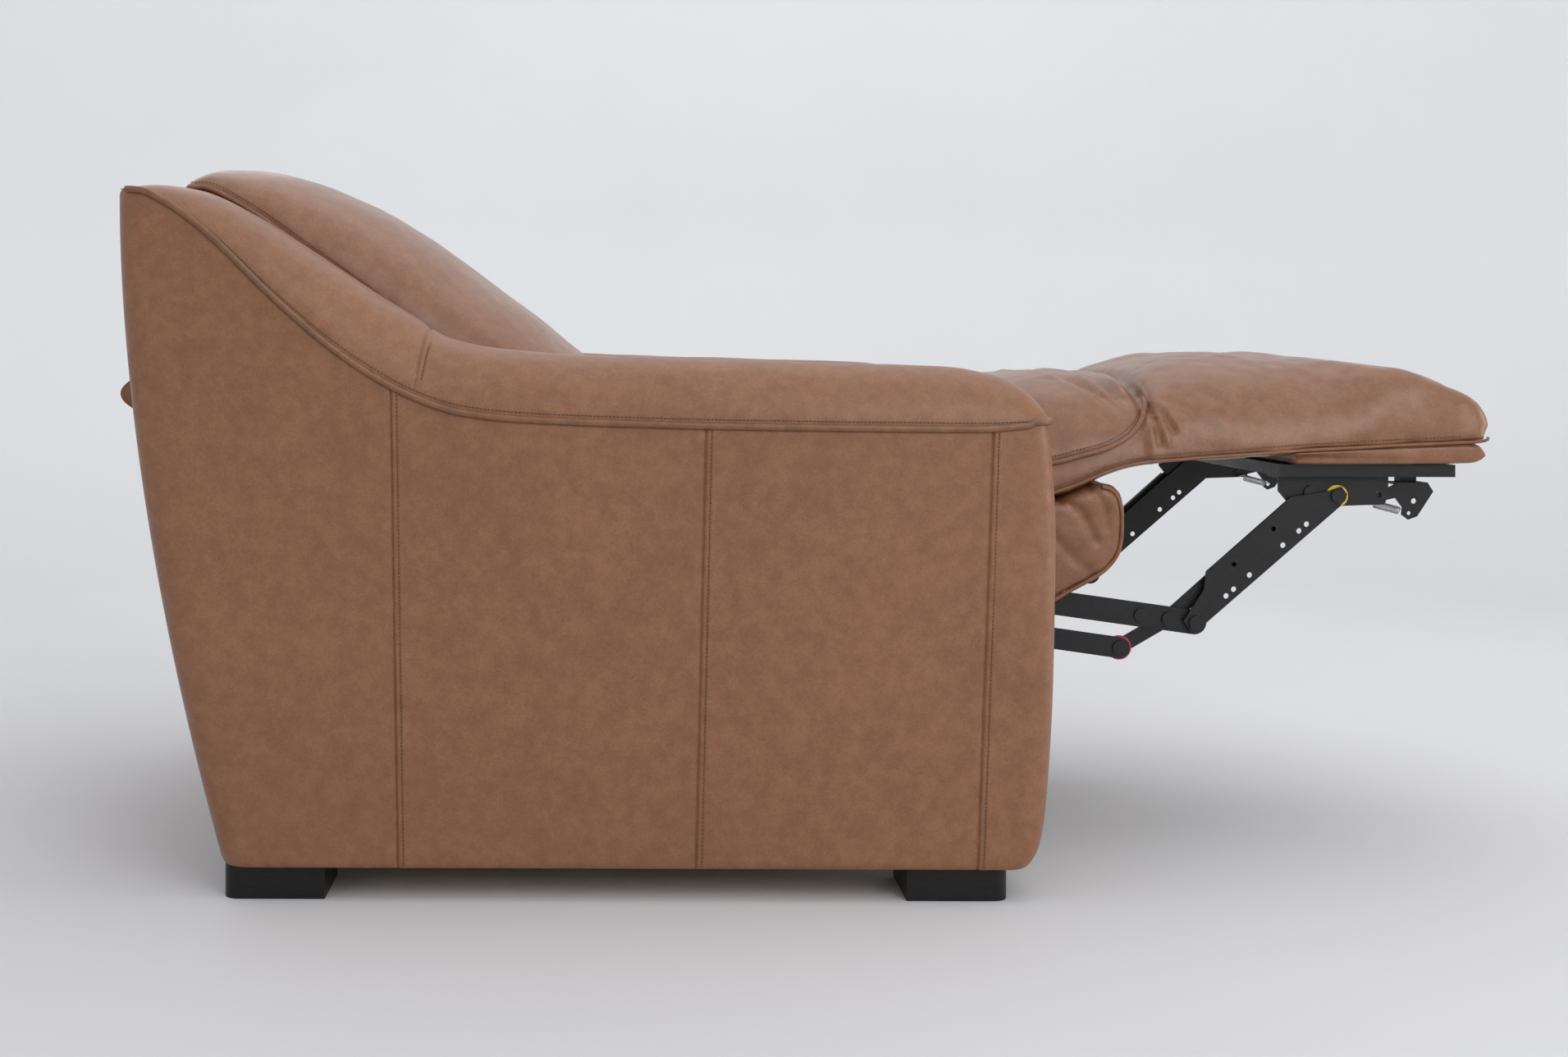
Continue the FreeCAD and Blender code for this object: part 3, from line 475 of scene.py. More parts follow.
def side_panel(side):
    """The leather of one arm's flanks: rear corner, side with its seams, front corner, front, inner side."""
    t = np.concatenate([[0, 0.004, 0.010, 0.018], np.linspace(0.03, 0.985, 90), [0.992, 0.997, 1.0]])
    parts = []

    def heights(top):
        return BASE_Z + (top - BASE_Z) * t

    def tuck(z, top):
        """Leather pulls in at its bottom and top edges."""
        low = clamp((z - BASE_Z) / 9.0)
        high = clamp((top - z) / 7.0)
        return 3.2 * (1 - np.sqrt(1 - (1 - low) ** 2)) + 2.2 * (1 - np.sqrt(1 - (1 - high) ** 2))

    z = heights(REAR_TOP)
    tucked = tuck(z, REAR_TOP)
    for y in np.linspace(INNER_FACE + 1, HALF_WIDTH - REAR_RADIUS, 8):
        parts.append((rear_line(z) + tucked, np.full_like(z, y), z))
    for a in np.linspace(0, math.pi / 2, 12)[1:]:
        parts.append((rear_line(z) + REAR_RADIUS * (1 - math.cos(a)) + tucked * math.cos(a),
                      HALF_WIDTH - REAR_RADIUS * (1 - math.sin(a)) - tucked * math.sin(a), z))
    edges = (None, *SEAMS, None)
    nominal = (REAR_RADIUS + 30, *SEAM_MIDDLES, SHELL_FRONT - FRONT_RADIUS)
    for left, right, low, high in zip(edges, edges[1:], nominal, nominal[1:]):
        for share in columns_between(high - low, left is not None, right is not None)[1:]:
            z = heights(float(WELT_LINE(low + (high - low) * share)))
            x_left = rear_line(z) + REAR_RADIUS if left is None else seam_x(left, z)
            x_right = FRONT_LINE(z) - FRONT_RADIUS if right is None else seam_x(right, z)
            x = x_left + (x_right - x_left) * share
            top = WELT_LINE(x)
            z = heights(top)
            relief = np.zeros_like(z)
            for seam in SEAMS:
                d = x - seam_x(seam, z)
                relief += np.where(np.abs(d) < SEAM_REACH, seam_relief(d), 0)
            swell = SIDE_SWELL * np.sin(np.pi * t) * (0.6 + 0.4 * math.sin(math.pi * share))
            wave = 0.5 * value_noise(np.column_stack([x, np.full_like(x, side * 50), z]), 130, 11)
            parts.append((x, HALF_WIDTH + relief + swell + wave * np.sin(np.pi * t) - tuck(z, top), z))
    front_top = float(WELT_LINE(ARM_END))
    z = heights(front_top)
    front, tucked = FRONT_LINE(z), tuck(z, front_top)
    for a in np.linspace(0, math.pi / 2, 12)[1:]:
        parts.append((front - FRONT_RADIUS * (1 - math.sin(a)) - tucked * math.sin(a),
                      HALF_WIDTH - FRONT_RADIUS * (1 - math.cos(a)) - tucked * math.cos(a), z))
    for y in np.linspace(HALF_WIDTH - FRONT_RADIUS, INNER_FACE + INNER_RADIUS, 14)[1:]:
        bulge = 1.5 * math.sin(math.pi * (y - INNER_FACE) / (HALF_WIDTH - INNER_FACE)) * np.sin(np.pi * t)
        parts.append((front - tucked + bulge, np.full_like(z, y), z))
    for a in np.linspace(0, math.pi / 2, 8)[1:]:
        parts.append((front - INNER_RADIUS * (1 - math.cos(a)) - tucked * math.cos(a),
                      np.full_like(z, INNER_FACE + INNER_RADIUS * (1 - math.sin(a))), z))
    for x in np.linspace(SHELL_FRONT - INNER_RADIUS, REAR_RADIUS, 60)[1:]:
        z = heights(float(WELT_LINE(x)))
        x_line = np.minimum(np.maximum(x, rear_line(z) + 20), FRONT_LINE(z) - INNER_RADIUS)
        parts.append((x_line, np.full_like(z, INNER_FACE), z))
    grid = np.stack([np.column_stack(p) for p in parts])
    grid[..., 1] *= side
    return grid_mesh("side_panel_" + dict(SIDES)[side], grid, SIDE, close_u=True)


def top_panel_point(x, v):
    """A point of the crowned top panel: x along the arm, v from 0 at the outer welt to 1 inside."""
    rise = np.sqrt(clamp(1 - np.abs(2 * v - 1) ** np.where(v > 0.5, 7.0, 2.5)))
    y = HALF_WIDTH + (INNER_FACE - HALF_WIDTH) * v
    low, high = WELT_LINE(x), CROWN_LINE(x)
    return y, low + (high - low) * rise


def cross_lean(v):
    """How far the cross seam lies ahead of CROSS_X, across the panel."""
    bow = 1 - np.sqrt(clamp(1 - (2 * v - 1) ** 2))
    return CROSS_SEAM[0] - CROSS_X + (CROSS_SEAM[1] - CROSS_SEAM[0]) * bow


def top_panel(side):
    xs = [0.0]
    while xs[-1] < ARM_END - 0.5:
        d = abs(xs[-1] - CROSS_X)
        xs.append(xs[-1] + (2.2 if xs[-1] > 1000 else 0.9 if d < 12 else 2.5 if d < 24 else 8.0))
    xs[-1] = ARM_END
    x, v = np.meshgrid(xs, (1 - np.cos(np.linspace(0, math.pi, 61))) / 2, indexing="ij")
    y, z = top_panel_point(x, v)
    front_pull = (corner_inset(HALF_WIDTH - y, FRONT_RADIUS) + corner_inset(y - INNER_FACE, INNER_RADIUS)
                  ) * clamp((x - 900) / (ARM_END - 900)) ** 1.2
    rear_pull = corner_inset(HALF_WIDTH - y, REAR_RADIUS) * clamp((160 - x) / 160)
    x_real = x + cross_lean(v) * bell(x - CROSS_X, 60) - front_pull + rear_pull
    z = z + (WELT_LINE(x_real) - WELT_LINE(x)) * (1 - np.sin(np.pi * v))
    relief = np.where(np.abs(x - CROSS_X) < SEAM_REACH, seam_relief(x - CROSS_X), 0)
    grid = np.stack([x_real, y, z], axis=-1)
    normal = np.cross(np.gradient(grid, axis=0), np.gradient(grid, axis=1))
    normal = normal / np.maximum(np.linalg.norm(normal, axis=-1)[..., None], 1e-9)
    normal *= np.sign(normal[..., 2:3] + 1e-9)
    wave = 0.8 * value_noise(grid, 150, 23) + 0.25 * value_noise(grid, 45, 29)
    fade = (clamp(np.minimum(v, 1 - v) / 0.06) * clamp(x / 30)
            * clamp((ARM_END - x) / 30))
    grid = grid + normal * ((relief + wave) * fade)[..., None]
    grid[..., 1] *= side
    panel = grid_mesh("top_panel_" + dict(SIDES)[side], grid, SIDE)
    if side < 0:
        open_window(panel, *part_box("control_panel"))
    return panel


def open_window(obj, low, high):
    """Cuts the leather away behind a mounted plate, staying under the plate's rim."""
    mesh = bmesh.new()
    mesh.from_mesh(obj.data)
    along, up = WINDOW_RIM[0] * MM, WINDOW_RIM[1] * MM
    middle_y = (HALF_WIDTH + INNER_FACE) / 2 * MM
    inside = []
    for face in mesh.faces:
        centre = face.calc_center_median()
        if (low.x + along < centre.x < high.x - along and low.z + up < centre.z < high.z - up
                and abs(centre.y) < middle_y):
            inside.append(face)
    bmesh.ops.delete(mesh, geom=inside, context="FACES")
    mesh.to_mesh(obj.data)
    mesh.free()


def arm_welt(side):
    """The welt from the rear corner along the side and around the front to the inner side."""
    width, end = HALF_WIDTH + WELT_PROUD, ARM_END + WELT_PROUD
    points = []
    for x in np.linspace(REAR_RADIUS * 0.4, ARM_END - FRONT_RADIUS, 260):
        points.append((x, width - float(corner_inset(x, REAR_RADIUS)), float(WELT_LINE(x))))
    for a in np.linspace(0, math.pi / 2, 14)[1:]:
        points.append((end - FRONT_RADIUS * (1 - math.sin(a)), width - FRONT_RADIUS * (1 - math.cos(a)),
                       float(WELT_LINE(ARM_END - 7))))
    for y in np.linspace(width - FRONT_RADIUS, INNER_FACE + INNER_RADIUS, 24)[1:]:
        points.append((end, y, float(WELT_LINE(ARM_END - 2))))
    path = np.array(points) + np.array([0, 0, 0.5])
    turn = clamp((HALF_WIDTH - path[:, 1]) / FRONT_RADIUS) * math.pi / 2
    turn[path[:, 0] < ARM_END - FRONT_RADIUS] = 0
    out = np.column_stack([np.sin(turn), np.cos(turn) * side, np.zeros(len(path))])
    path[:, 1] *= side
    return tube("arm_welt_" + dict(SIDES)[side], path, (3.4, 3.9), WELT, out, round_power=2.4)


def arm_stitches(side):
    rows = []
    for seam in SEAMS:
        z_top = float(WELT_LINE(seam[1][1])) - 6
        z = np.linspace(BASE_Z + 5, z_top, 60)
        swell = 0.8 * SIDE_SWELL * np.sin(np.pi * (z - BASE_Z) / (z_top + 6 - BASE_Z))
        y = side * (HALF_WIDTH + 0.55 + swell)
        rows.append((np.column_stack([seam_x(seam, z) + THREAD_OFFSET, y, z]), (0, side, 0)))
    x = np.linspace(30, ARM_END - FRONT_RADIUS, 200)
    y, z = top_panel_point(x, np.array(0.0018))
    rows.append((np.column_stack([x, np.full_like(x, side * (y + 0.7)), z + 1.0]), (0, side, 0.25)))
    v = np.linspace(0.02, 0.5, 40)
    x = CROSS_X + THREAD_OFFSET + cross_lean(v)
    y, z = top_panel_point(x, v)
    rows.append((np.column_stack([x, side * (y + 0.5), z + 0.7]), (0, side, 0.6)))
    return stitch_mesh("arm_stitching_" + dict(SIDES)[side], rows)


def rear_panel():
    """The outside back: one sheet between the arms, wrapped over the top rail."""
    z = np.linspace(BASE_Z, 786, 100)
    arc = np.linspace(0, math.pi, 20)[1:]
    xs = np.concatenate([rear_line(z), 17 - 17 * np.cos(arc), [34, 35, 36]])
    zs = np.concatenate([z, 788 + 17 * np.sin(arc), [770, 750, 730]])
    ys = np.linspace(-INNER_FACE - 1, INNER_FACE + 1, 90)
    grid = np.zeros((len(xs), len(ys), 3))
    grid[..., 0] = xs[:, None]
    grid[..., 1] = ys[None, :]
    grid[..., 2] = zs[:, None]
    upright = np.sin(np.pi * clamp((zs - BASE_Z) / 760))
    across = np.sqrt(clamp(np.cos(ys / INNER_FACE * math.pi / 2)))
    over_rail = (np.arange(len(xs)) > len(z) + 6)[:, None]
    swell = 2.5 * upright[:, None] * across[None, :] + 0.7 * value_noise(grid, 90, 31)
    grid[..., 0] -= np.where(over_rail, 0, swell)
    return grid_mesh("rear_panel", grid, SIDE)


def rear_flap():
    """A slack leather flap across the rear, folded double."""
    inner = INNER_FACE - 8
    section = smooth_path([(18, 598), (-8, 594), (-27, 585), (-37, 574), (-34, 562), (-20, 551), (0, 541),
                           (20, 534)], 40)
    ys = np.linspace(-inner, inner, 110)
    grid = np.zeros((len(ys), len(section), 3))
    for i, y in enumerate(ys):
        ripple = 2.5 * math.sin(y / 38.0) + 1.6 * math.sin(y / 17.0 + 1)
        fade = 1 - (abs(y) / inner) ** 12
        reach = clamp((18 - section[:, 0]) / 57)
        grid[i, :, 0] = section[:, 0] + (1 - fade) * reach * 3 + reach * ripple * 0.35
        grid[i, :, 1] = y
        grid[i, :, 2] = section[:, 1] + reach * ripple
    return grid_mesh("rear_flap_leather", grid, SIDE, cap=True, close_v=True)


# ------------------------ cushions
VOXEL = 8.5                                  # millimetres
CLOTH_FRAMES = 20
CLOTH_SETTINGS = {"quality": 4, "mass": 0.3, "tension_stiffness": 18, "compression_stiffness": 18,
                  "shear_stiffness": 8, "bending_stiffness": 1.2, "use_pressure": True,
                  "uniform_pressure_force": 4.0, "vertex_group_mass": "held", "pin_stiffness": 1.0}


def ring_cushion(name, lines, half, power, boxing=3.0):
    """A closed pillow: its face arches over the crown line between two side seams, and its back is flatter.
    lines are the crown, seam and rear, of matching (x, z) points; half is the half width at each station.
    power(x) says how boxy the arch is."""
    v = (1 - np.cos(np.linspace(0, math.pi, 53))) / 2
    rings = []
    for i, (c, w, r) in enumerate(zip(*matched_paths(lines, len(half)))):
        face = w + (c - w) * np.sqrt(clamp(1 - np.abs(2 * v - 1) ** power(c[0])))[:, None]
        y = half[i] * (2 * v - 1)
        top = np.column_stack([face[:, 0], y, face[:, 1]])
        t = np.linspace(0, 1, 8)[1:]
        out = boxing * np.sin(np.pi * t)
        down = w + (r - w) * t[:, None]
        right = np.column_stack([down[:, 0], half[i] + out - 5 * t, down[:, 1]])
        across = np.linspace(half[i] - 5, -half[i] + 5, 26)[1:-1]
        under = np.column_stack([np.full(24, r[0]), across, np.full(24, r[1])])
        left = right[::-1].copy()
        left[:, 1] *= -1
        rings.append(np.vstack([top, right, under, left]))
    return grid_mesh(name, np.array(rings), SEAT, close_v=True, cap=True)


def inflate(obj, cap, held):
    """Voxel remesh, then a short pressure simulation with some points held, its motion capped and applied."""
    remesh = obj.modifiers.new("remesh", "REMESH")
    remesh.mode = "VOXEL"
    remesh.voxel_size = VOXEL * MM
    apply_modifiers(obj)
    start = mesh_points(obj.data)
    group = obj.vertex_groups.new(name="held")
    weights = held((start - np.array([REAR_X, 0, 0])) / MM)
    for index in np.nonzero(weights > 0.02)[0]:
        group.add([int(index)], float(min(1.0, weights[index])), "REPLACE")
    cloth = obj.modifiers.new("cloth", "CLOTH")
    for key, value in CLOTH_SETTINGS.items():
        setattr(cloth.settings, key, value)
    cloth.settings.effector_weights.gravity = 0
    scene = bpy.context.scene
    for step in range(1, CLOTH_FRAMES + 1):
        scene.frame_set(step)
    evaluated = obj.evaluated_get(bpy.context.evaluated_depsgraph_get()).to_mesh()
    shift = mesh_points(evaluated) - start
    obj.modifiers.remove(cloth)
    size = np.linalg.norm(shift, axis=1)
    limit = cap * MM * np.tanh(size / (cap * MM))
    shift *= (limit / np.maximum(size, 1e-9))[:, None]
    set_points(obj, start + shift)
    scene.frame_set(1)
    smooth = obj.modifiers.new("smooth", "SMOOTH")
    smooth.factor = 0.5
    smooth.iterations = 2
    divide = obj.modifiers.new("divide", "SUBSURF")
    divide.levels = 1
    divide.render_levels = 1
    apply_modifiers(obj)


def apply_modifiers(obj):
    bpy.context.view_layer.update()
    depsgraph = bpy.context.evaluated_depsgraph_get()
    mesh = bpy.data.meshes.new_from_object(obj.evaluated_get(depsgraph))
    materials = list(obj.data.materials)
    obj.modifiers.clear()
    obj.data = mesh
    mesh.materials.clear()
    for material in materials:
        mesh.materials.append(material)
    mesh.polygons.foreach_set("use_smooth", [True] * len(mesh.polygons))
    mesh.update()


def mesh_points(mesh):
    co = np.zeros(len(mesh.vertices) * 3)
    mesh.vertices.foreach_get("co", co)
    return co.reshape(-1, 3)


def set_points(obj, points):
    obj.data.vertices.foreach_set("co", points.reshape(-1))
    obj.data.update()


def push(obj, amount):
    """Moves each vertex along its normal by amount(points in profile mm), in millimetres."""
    points = mesh_points(obj.data)
    normals = np.zeros(len(points) * 3)
    obj.data.vertices.foreach_get("normal", normals)
    local = (points - np.array([REAR_X, 0, 0])) / MM
    set_points(obj, points + normals.reshape(-1, 3) * (amount(local) * MM)[:, None])


def distance_to_line(points, line):
    """Distance of each point, seen from the side, to a polyline of (x, z) points."""
    flat = points[:, [0, 2]]
    best = np.full(len(flat), 1e9)
    for a, b in zip(line[:-1], line[1:]):
        d = b - a
        t = clamp(((flat - a) @ d) / (d @ d))
        best = np.minimum(best, np.linalg.norm(flat - a - t[:, None] * d, axis=1))
    return best


BACK_CROWN = [(28, 819), (46, 838), (84, 854), (138, 852), (198, 834), (264, 804), (330, 763), (395, 712),
              (461, 664), (518, 618), (574, 573), (626, 531), (672, 494), (692, 474), (680, 454)]
BACK_SEAM = [(27, 811), (46, 820), (70, 819), (98, 806), (136, 783), (188, 746), (236, 713), (285, 677),
             (345, 634), (400, 592), (455, 550), (510, 509), (562, 471), (606, 440), (644, 416)]
BACK_REAR = [(50, 808), (60, 802), (70, 796), (90, 782), (125, 756), (172, 722), (222, 684), (275, 645),
             (330, 604), (385, 563), (440, 522), (495, 482), (548, 443), (592, 411), (622, 394)]
BACK_SLOPE = math.radians(36.5)
BACK_FOOT = (700, 479)
BACK_HEAD = 0.07                             # share of the cushion's length over which its head narrows
COVER_THICKNESS = 0.0022                     # metres


def back_half(share):
    return CUSHION_HALF - 16 * clamp(1 - share / BACK_HEAD) ** 2


def back_cushion():
    def power(x):
        return 3.4 + 5.0 * clamp((90 - x) / 60)

    half = back_half(np.linspace(0, 1, 110))
    obj = ring_cushion("back_cushion_leather", (BACK_CROWN, BACK_SEAM, BACK_REAR), half, power)
    seam_line = smooth_path(BACK_SEAM, 60)

    def held(p):
        near = distance_to_line(p, seam_line)
        at_side = clamp((np.abs(p[:, 1]) - CUSHION_HALF + 22) / 10)
        x, z = p[:, 0] - BACK_FOOT[0], p[:, 2] - BACK_FOOT[1]
        behind = -x * math.sin(BACK_SLOPE) - z * math.cos(BACK_SLOPE)
        top_end = clamp((70 - p[:, 0]) / 25)
        past_foot = x * math.cos(BACK_SLOPE) - z * math.sin(BACK_SLOPE)
        low_end = clamp((past_foot + 26) / 14)
        seams = np.maximum(clamp(1.6 - near / 7) * at_side, clamp((behind - 30) / 20))
        return np.maximum.reduce([seams, top_end, low_end])

    inflate(obj, 9.0, held)

    def creases(p):
        near = distance_to_line(p, seam_line)
        side = clamp((np.abs(p[:, 1]) - CUSHION_HALF + 40) / 25)
        ripple = 0.6 * value_noise(p, 110, 41) + 0.2 * value_noise(p, 40, 43)
        return ripple - 1.2 * side * bell(near, 6)

    push(obj, creases)
    return obj


def back_outside():
    """The leather over the rear and edges of the back's frame, seen once the back stands up."""
    cover = bmesh.new()
    for name in ("back_frame", "back_panel"):
        node = frame["nodes"][name]
        for vertex in node.data.vertices:
            cover.verts.new(node.matrix_world @ vertex.co)
    hull = bmesh.ops.convex_hull(cover, input=cover.verts)
    spare = {item for item in hull["geom_interior"] + hull["geom_unused"]
             if isinstance(item, bmesh.types.BMVert)}
    bmesh.ops.delete(cover, geom=list(spare), context="VERTS")
    bmesh.ops.dissolve_limit(cover, angle_limit=0.05, verts=cover.verts, edges=cover.edges)
    bmesh.ops.recalc_face_normals(cover, faces=cover.faces)
    cover.normal_update()
    for vertex in cover.verts:
        vertex.co += vertex.normal * COVER_THICKNESS
    bmesh.ops.bevel(cover, geom=cover.edges[:], offset=0.004, segments=3, affect="EDGES")
    mesh = bpy.data.meshes.new("back_outside_leather")
    cover.to_mesh(mesh)
    cover.free()
    return add_object("back_outside_leather", mesh, SIDE)


def flank(line, y, side, shift=(0.0, 0.0)):
    """A profile line of (x, z) laid on one flank of a cushion at half width y."""
    x, z = (line + shift).T
    return np.column_stack([x, side * np.broadcast_to(y, (len(line),)), z])


def seam_tubes(name, line, y, size, out):
    """A welt along each side seam of a cushion."""
    return [tube(name + "_" + word, flank(line, y, side), size, WELT, (out[0], side * out[1], out[2]))
            for side, word in SIDES]


def back_trim():
    line = smooth_path(BACK_SEAM[1:], 160)
    y = back_half(np.linspace(BACK_HEAD, 1, len(line))) + WELT_PROUD
    above = (8.0 * math.sin(BACK_SLOPE), 8.0 * math.cos(BACK_SLOPE))
    rows = [(flank(line, y, side, above), (0.2, side, 0.35)) for side, _ in SIDES]
    return [*seam_tubes("back_welt", line, y, (3.0, 3.4), (0, 1, 0)), stitch_mesh("back_stitching", rows)]


CHAISE = [  # crown x, z; side seam x, z; underside x, z
    (768, 470, 768, 462, 768, 450), (782, 496, 778, 462, 776, 447), (850, 520, 850, 461, 850, 445),
    (960, 556, 960, 457, 960, 444), (1046, 584, 1046, 452, 1050, 444), (1092, 593, 1100, 450, 1098, 444),
    (1135, 597, 1132, 461, 1128, 448), (1170, 594, 1165, 475, 1158, 464), (1200, 589, 1193, 484, 1188, 476),
    (1222, 592, 1220, 489, 1215, 483), (1246, 606, 1246, 491, 1246, 487), (1280, 615, 1280, 494, 1280, 489),
    (1340, 617, 1335, 498, 1335, 492), (1413, 617, 1410, 504, 1405, 499), (1467, 615, 1465, 507, 1460, 503),
    (1520, 609, 1515, 510, 1512, 507), (1562, 598, 1558, 512, 1553, 509), (1602, 582, 1596, 514, 1590, 511),
    (1628, 568, 1620, 515, 1612, 513), (1638, 554, 1631, 517, 1622, 514), (1639, 536, 1634, 519, 1628, 516),
    (1636, 524, 1634, 521, 1630, 518)]
CHAISE_SEAM = [(s[2], s[3]) for s in CHAISE]
CHAISE_POWER = 4.2
CREASE_X = 1222.0
PLEAT_HEAD = (1226.0, 575.0)
PLEATS = ((1236.0, 512.0, 4.0, 6.5), (1252.0, 528.0, 4.5, 5.0), (1268.0, 560.0, 5.0, 4.0))
FOLDS = ((0.0, 8.0, 18.0), (42.0, 7.5, 13.0), (88.0, 9.0, 10.0))    # spread at mid width, width, depth
SEAT_WELT_POINTS = [(1060, 482), (1107, 488), (1138, 496), (1169, 505), (1196, 519), (1214, 537), (1224, 556)]
SEAT_WELT = smooth_path(SEAT_WELT_POINTS + [(1226, 566)], 70)
SEAT_WELT_HEIGHT = smooth_curve(SEAT_WELT_POINTS)


def chaise():
    def power(x):
        tip = clamp((x - 1450) / 150)
        return CHAISE_POWER + 26.0 * tip * tip * (3 - 2 * tip)

    lines = ([(s[0], s[1]) for s in CHAISE], CHAISE_SEAM, [(s[4], s[5]) for s in CHAISE])
    obj = ring_cushion("chaise_leather", lines, np.full(150, CUSHION_HALF), power, boxing=0.5)
    seam_line = smooth_path(CHAISE_SEAM, 90)

    def held(p):
        near = distance_to_line(p, seam_line)
        low = clamp(1.5 - near / 10)
        crease = bell(p[:, 0] - CREASE_X, 9)
        hidden = clamp((800 - p[:, 0]) / 30)
        tip = clamp((p[:, 0] - 1585) / 30)
        return np.maximum.reduce([low, crease, hidden, tip])

    inflate(obj, 9.0, held)

    def folds(p):
        edge = clamp(np.abs(p[:, 1]) / CUSHION_HALF)
        upper = clamp((p[:, 2] - 536) / 40)
        total = np.zeros(len(p))
        wander = 7.0 * value_noise(p * np.array([0, 1, 0]), 240, 51)
        for spread, width, depth in FOLDS:
            centre = CREASE_X - spread * (1 - edge ** 3) + wander * (1 - edge)
            deep = depth * (0.55 + 0.45 * edge ** 2) if spread == 0 else depth * (1 - 0.35 * edge)
            total -= deep * bell(p[:, 0] - centre, width)
            total += 0.28 * depth * bell(p[:, 0] - centre + 1.9 * width, width * 1.1)
        total *= upper
        pad = clamp((p[:, 0] - 1245) / 60)
        soft = (1.5 * value_noise(p * np.array([1.0, 0.55, 1.0]), 95, 53)
                + 0.5 * value_noise(p, 34, 57))
        at_edge = clamp((edge - 0.9) / 0.05)
        groove = -3.0 * bell(distance_to_line(p, SEAT_WELT), 5) * at_edge
        below = clamp((SEAT_WELT_HEIGHT(p[:, 0]) - p[:, 2]) / 8)
        tucked = -4.0 * below * clamp((PLEAT_HEAD[0] - p[:, 0]) / 10) * at_edge
        pleats = np.zeros(len(p))
        for foot_x, foot_z, width, depth in PLEATS:
            pleat = np.array([PLEAT_HEAD, (foot_x, foot_z)])
            ridge = pleat + np.array([7.0, 0.0])
            pleats -= depth * bell(distance_to_line(p, pleat), width)
            pleats += 0.5 * depth * bell(distance_to_line(p, ridge), width)
        pleats *= clamp((edge - 0.86) / 0.08)
        return total + soft * (0.4 + 0.6 * pad) + groove + tucked + pleats

    push(obj, folds)
    return obj


def chaise_edge_y(x, z):
    """Half width of the chaise surface at profile point (x, z)."""
    stations = np.array(CHAISE, float)
    order = np.argsort(stations[:, 0])
    top = np.interp(x, stations[order, 0], stations[order, 1])
    low = np.interp(x, stations[:, 2], stations[:, 3])
    a = np.clip((z - low) / (top - low), 0, 0.999)
    return CUSHION_HALF * (1 - a ** 2) ** (1 / CHAISE_POWER)


def chaise_trim():
    y = chaise_edge_y(SEAT_WELT[:, 0], SEAT_WELT[:, 1]) - 0.6
    pieces = seam_tubes("seat_welt", SEAT_WELT, y, (2.8, 3.2), (0, 1, 0.25))
    above = SEAT_WELT[:-8] + np.array([-2.0, 7.5])
    above_y = chaise_edge_y(above[:, 0], above[:, 1]) + 0.5
    rows = [(flank(above, above_y, side), (0, side, 0.4)) for side, _ in SIDES]
    seam = smooth_path([point for point in CHAISE_SEAM if point[0] > 1090], 160)
    pieces += seam_tubes("chaise_seam", seam, CUSHION_HALF + 0.6, (1.6, 2.0), (0, 1, -0.2))
    sewn = seam[seam[:, 0] < 1600]
    rows += [(flank(sewn, CUSHION_HALF + 0.9, side, (0, 7)), (0, side, 0.1)) for side, _ in SIDES]
    return pieces + [stitch_mesh("chaise_stitching", rows)]


def pad_stations(edge, count, start, middle_count):
    """Places across a pad, close together over its rounded edges."""
    lead = edge * (1 - np.cos(np.linspace(0, math.pi / 2, count)))
    middle = np.linspace(start - CUSHION_HALF, CUSHION_HALF - start, middle_count)
    return np.concatenate([lead - CUSHION_HALF, middle, (CUSHION_HALF - lead)[::-1]])


def round_off(y, edge):
    """0 at the pad's flank, rising to 1 over its rounded edge."""
    depth = min(1.0, (CUSHION_HALF - abs(y)) / edge)
    return math.sqrt(max(0.0, 1 - (1 - depth) ** 2))


def lower_pad():
    outline = smooth_path([(1399, 490), (1404, 486.6), (1504, 486.6), (1600, 488), (1622, 490), (1631, 499),
                           (1626, 508), (1612, 513), (1504, 508), (1404, 502), (1399, 498)], 70)
    centre = outline.mean(axis=0)
    rings = []
    for y in pad_stations(9, 6, 14, 60):
        shrink = 0.55 + 0.45 * round_off(y, 9)
        ring = outline.copy()
        ring[:, 1] = centre[1] + (ring[:, 1] - centre[1]) * shrink
        ring[:, 0] += 1.2 * math.sin(y / 47.0)
        rings.append(np.column_stack([ring[:, 0], np.full(len(ring), y), ring[:, 1]]))
    return grid_mesh("lower_pad_leather", np.array(rings), SEAT, close_v=True, cap=True)


FRONT_PAD = [(1076, 441), (1110, 444), (1140, 455), (1166, 464), (1181, 458), (1190, 443), (1193, 420),
             (1192, 393), (1186, 372), (1170, 353), (1148, 339), (1124, 326), (1104, 314), (1085, 311),
             (1074, 330), (1072, 390)]
FRONT_PAD_CENTRE = np.array([1120.0, 395.0])
PAD_CREASES = ((((1112.0, 446.0), (1140.0, 424.0), (1156.0, 392.0)), 5.0, 4.0),
               (((1150.0, 458.0), (1166.0, 436.0), (1170.0, 408.0)), 4.5, 3.0),
               (((1100.0, 400.0), (1128.0, 372.0), (1150.0, 352.0)), 7.0, 3.0))


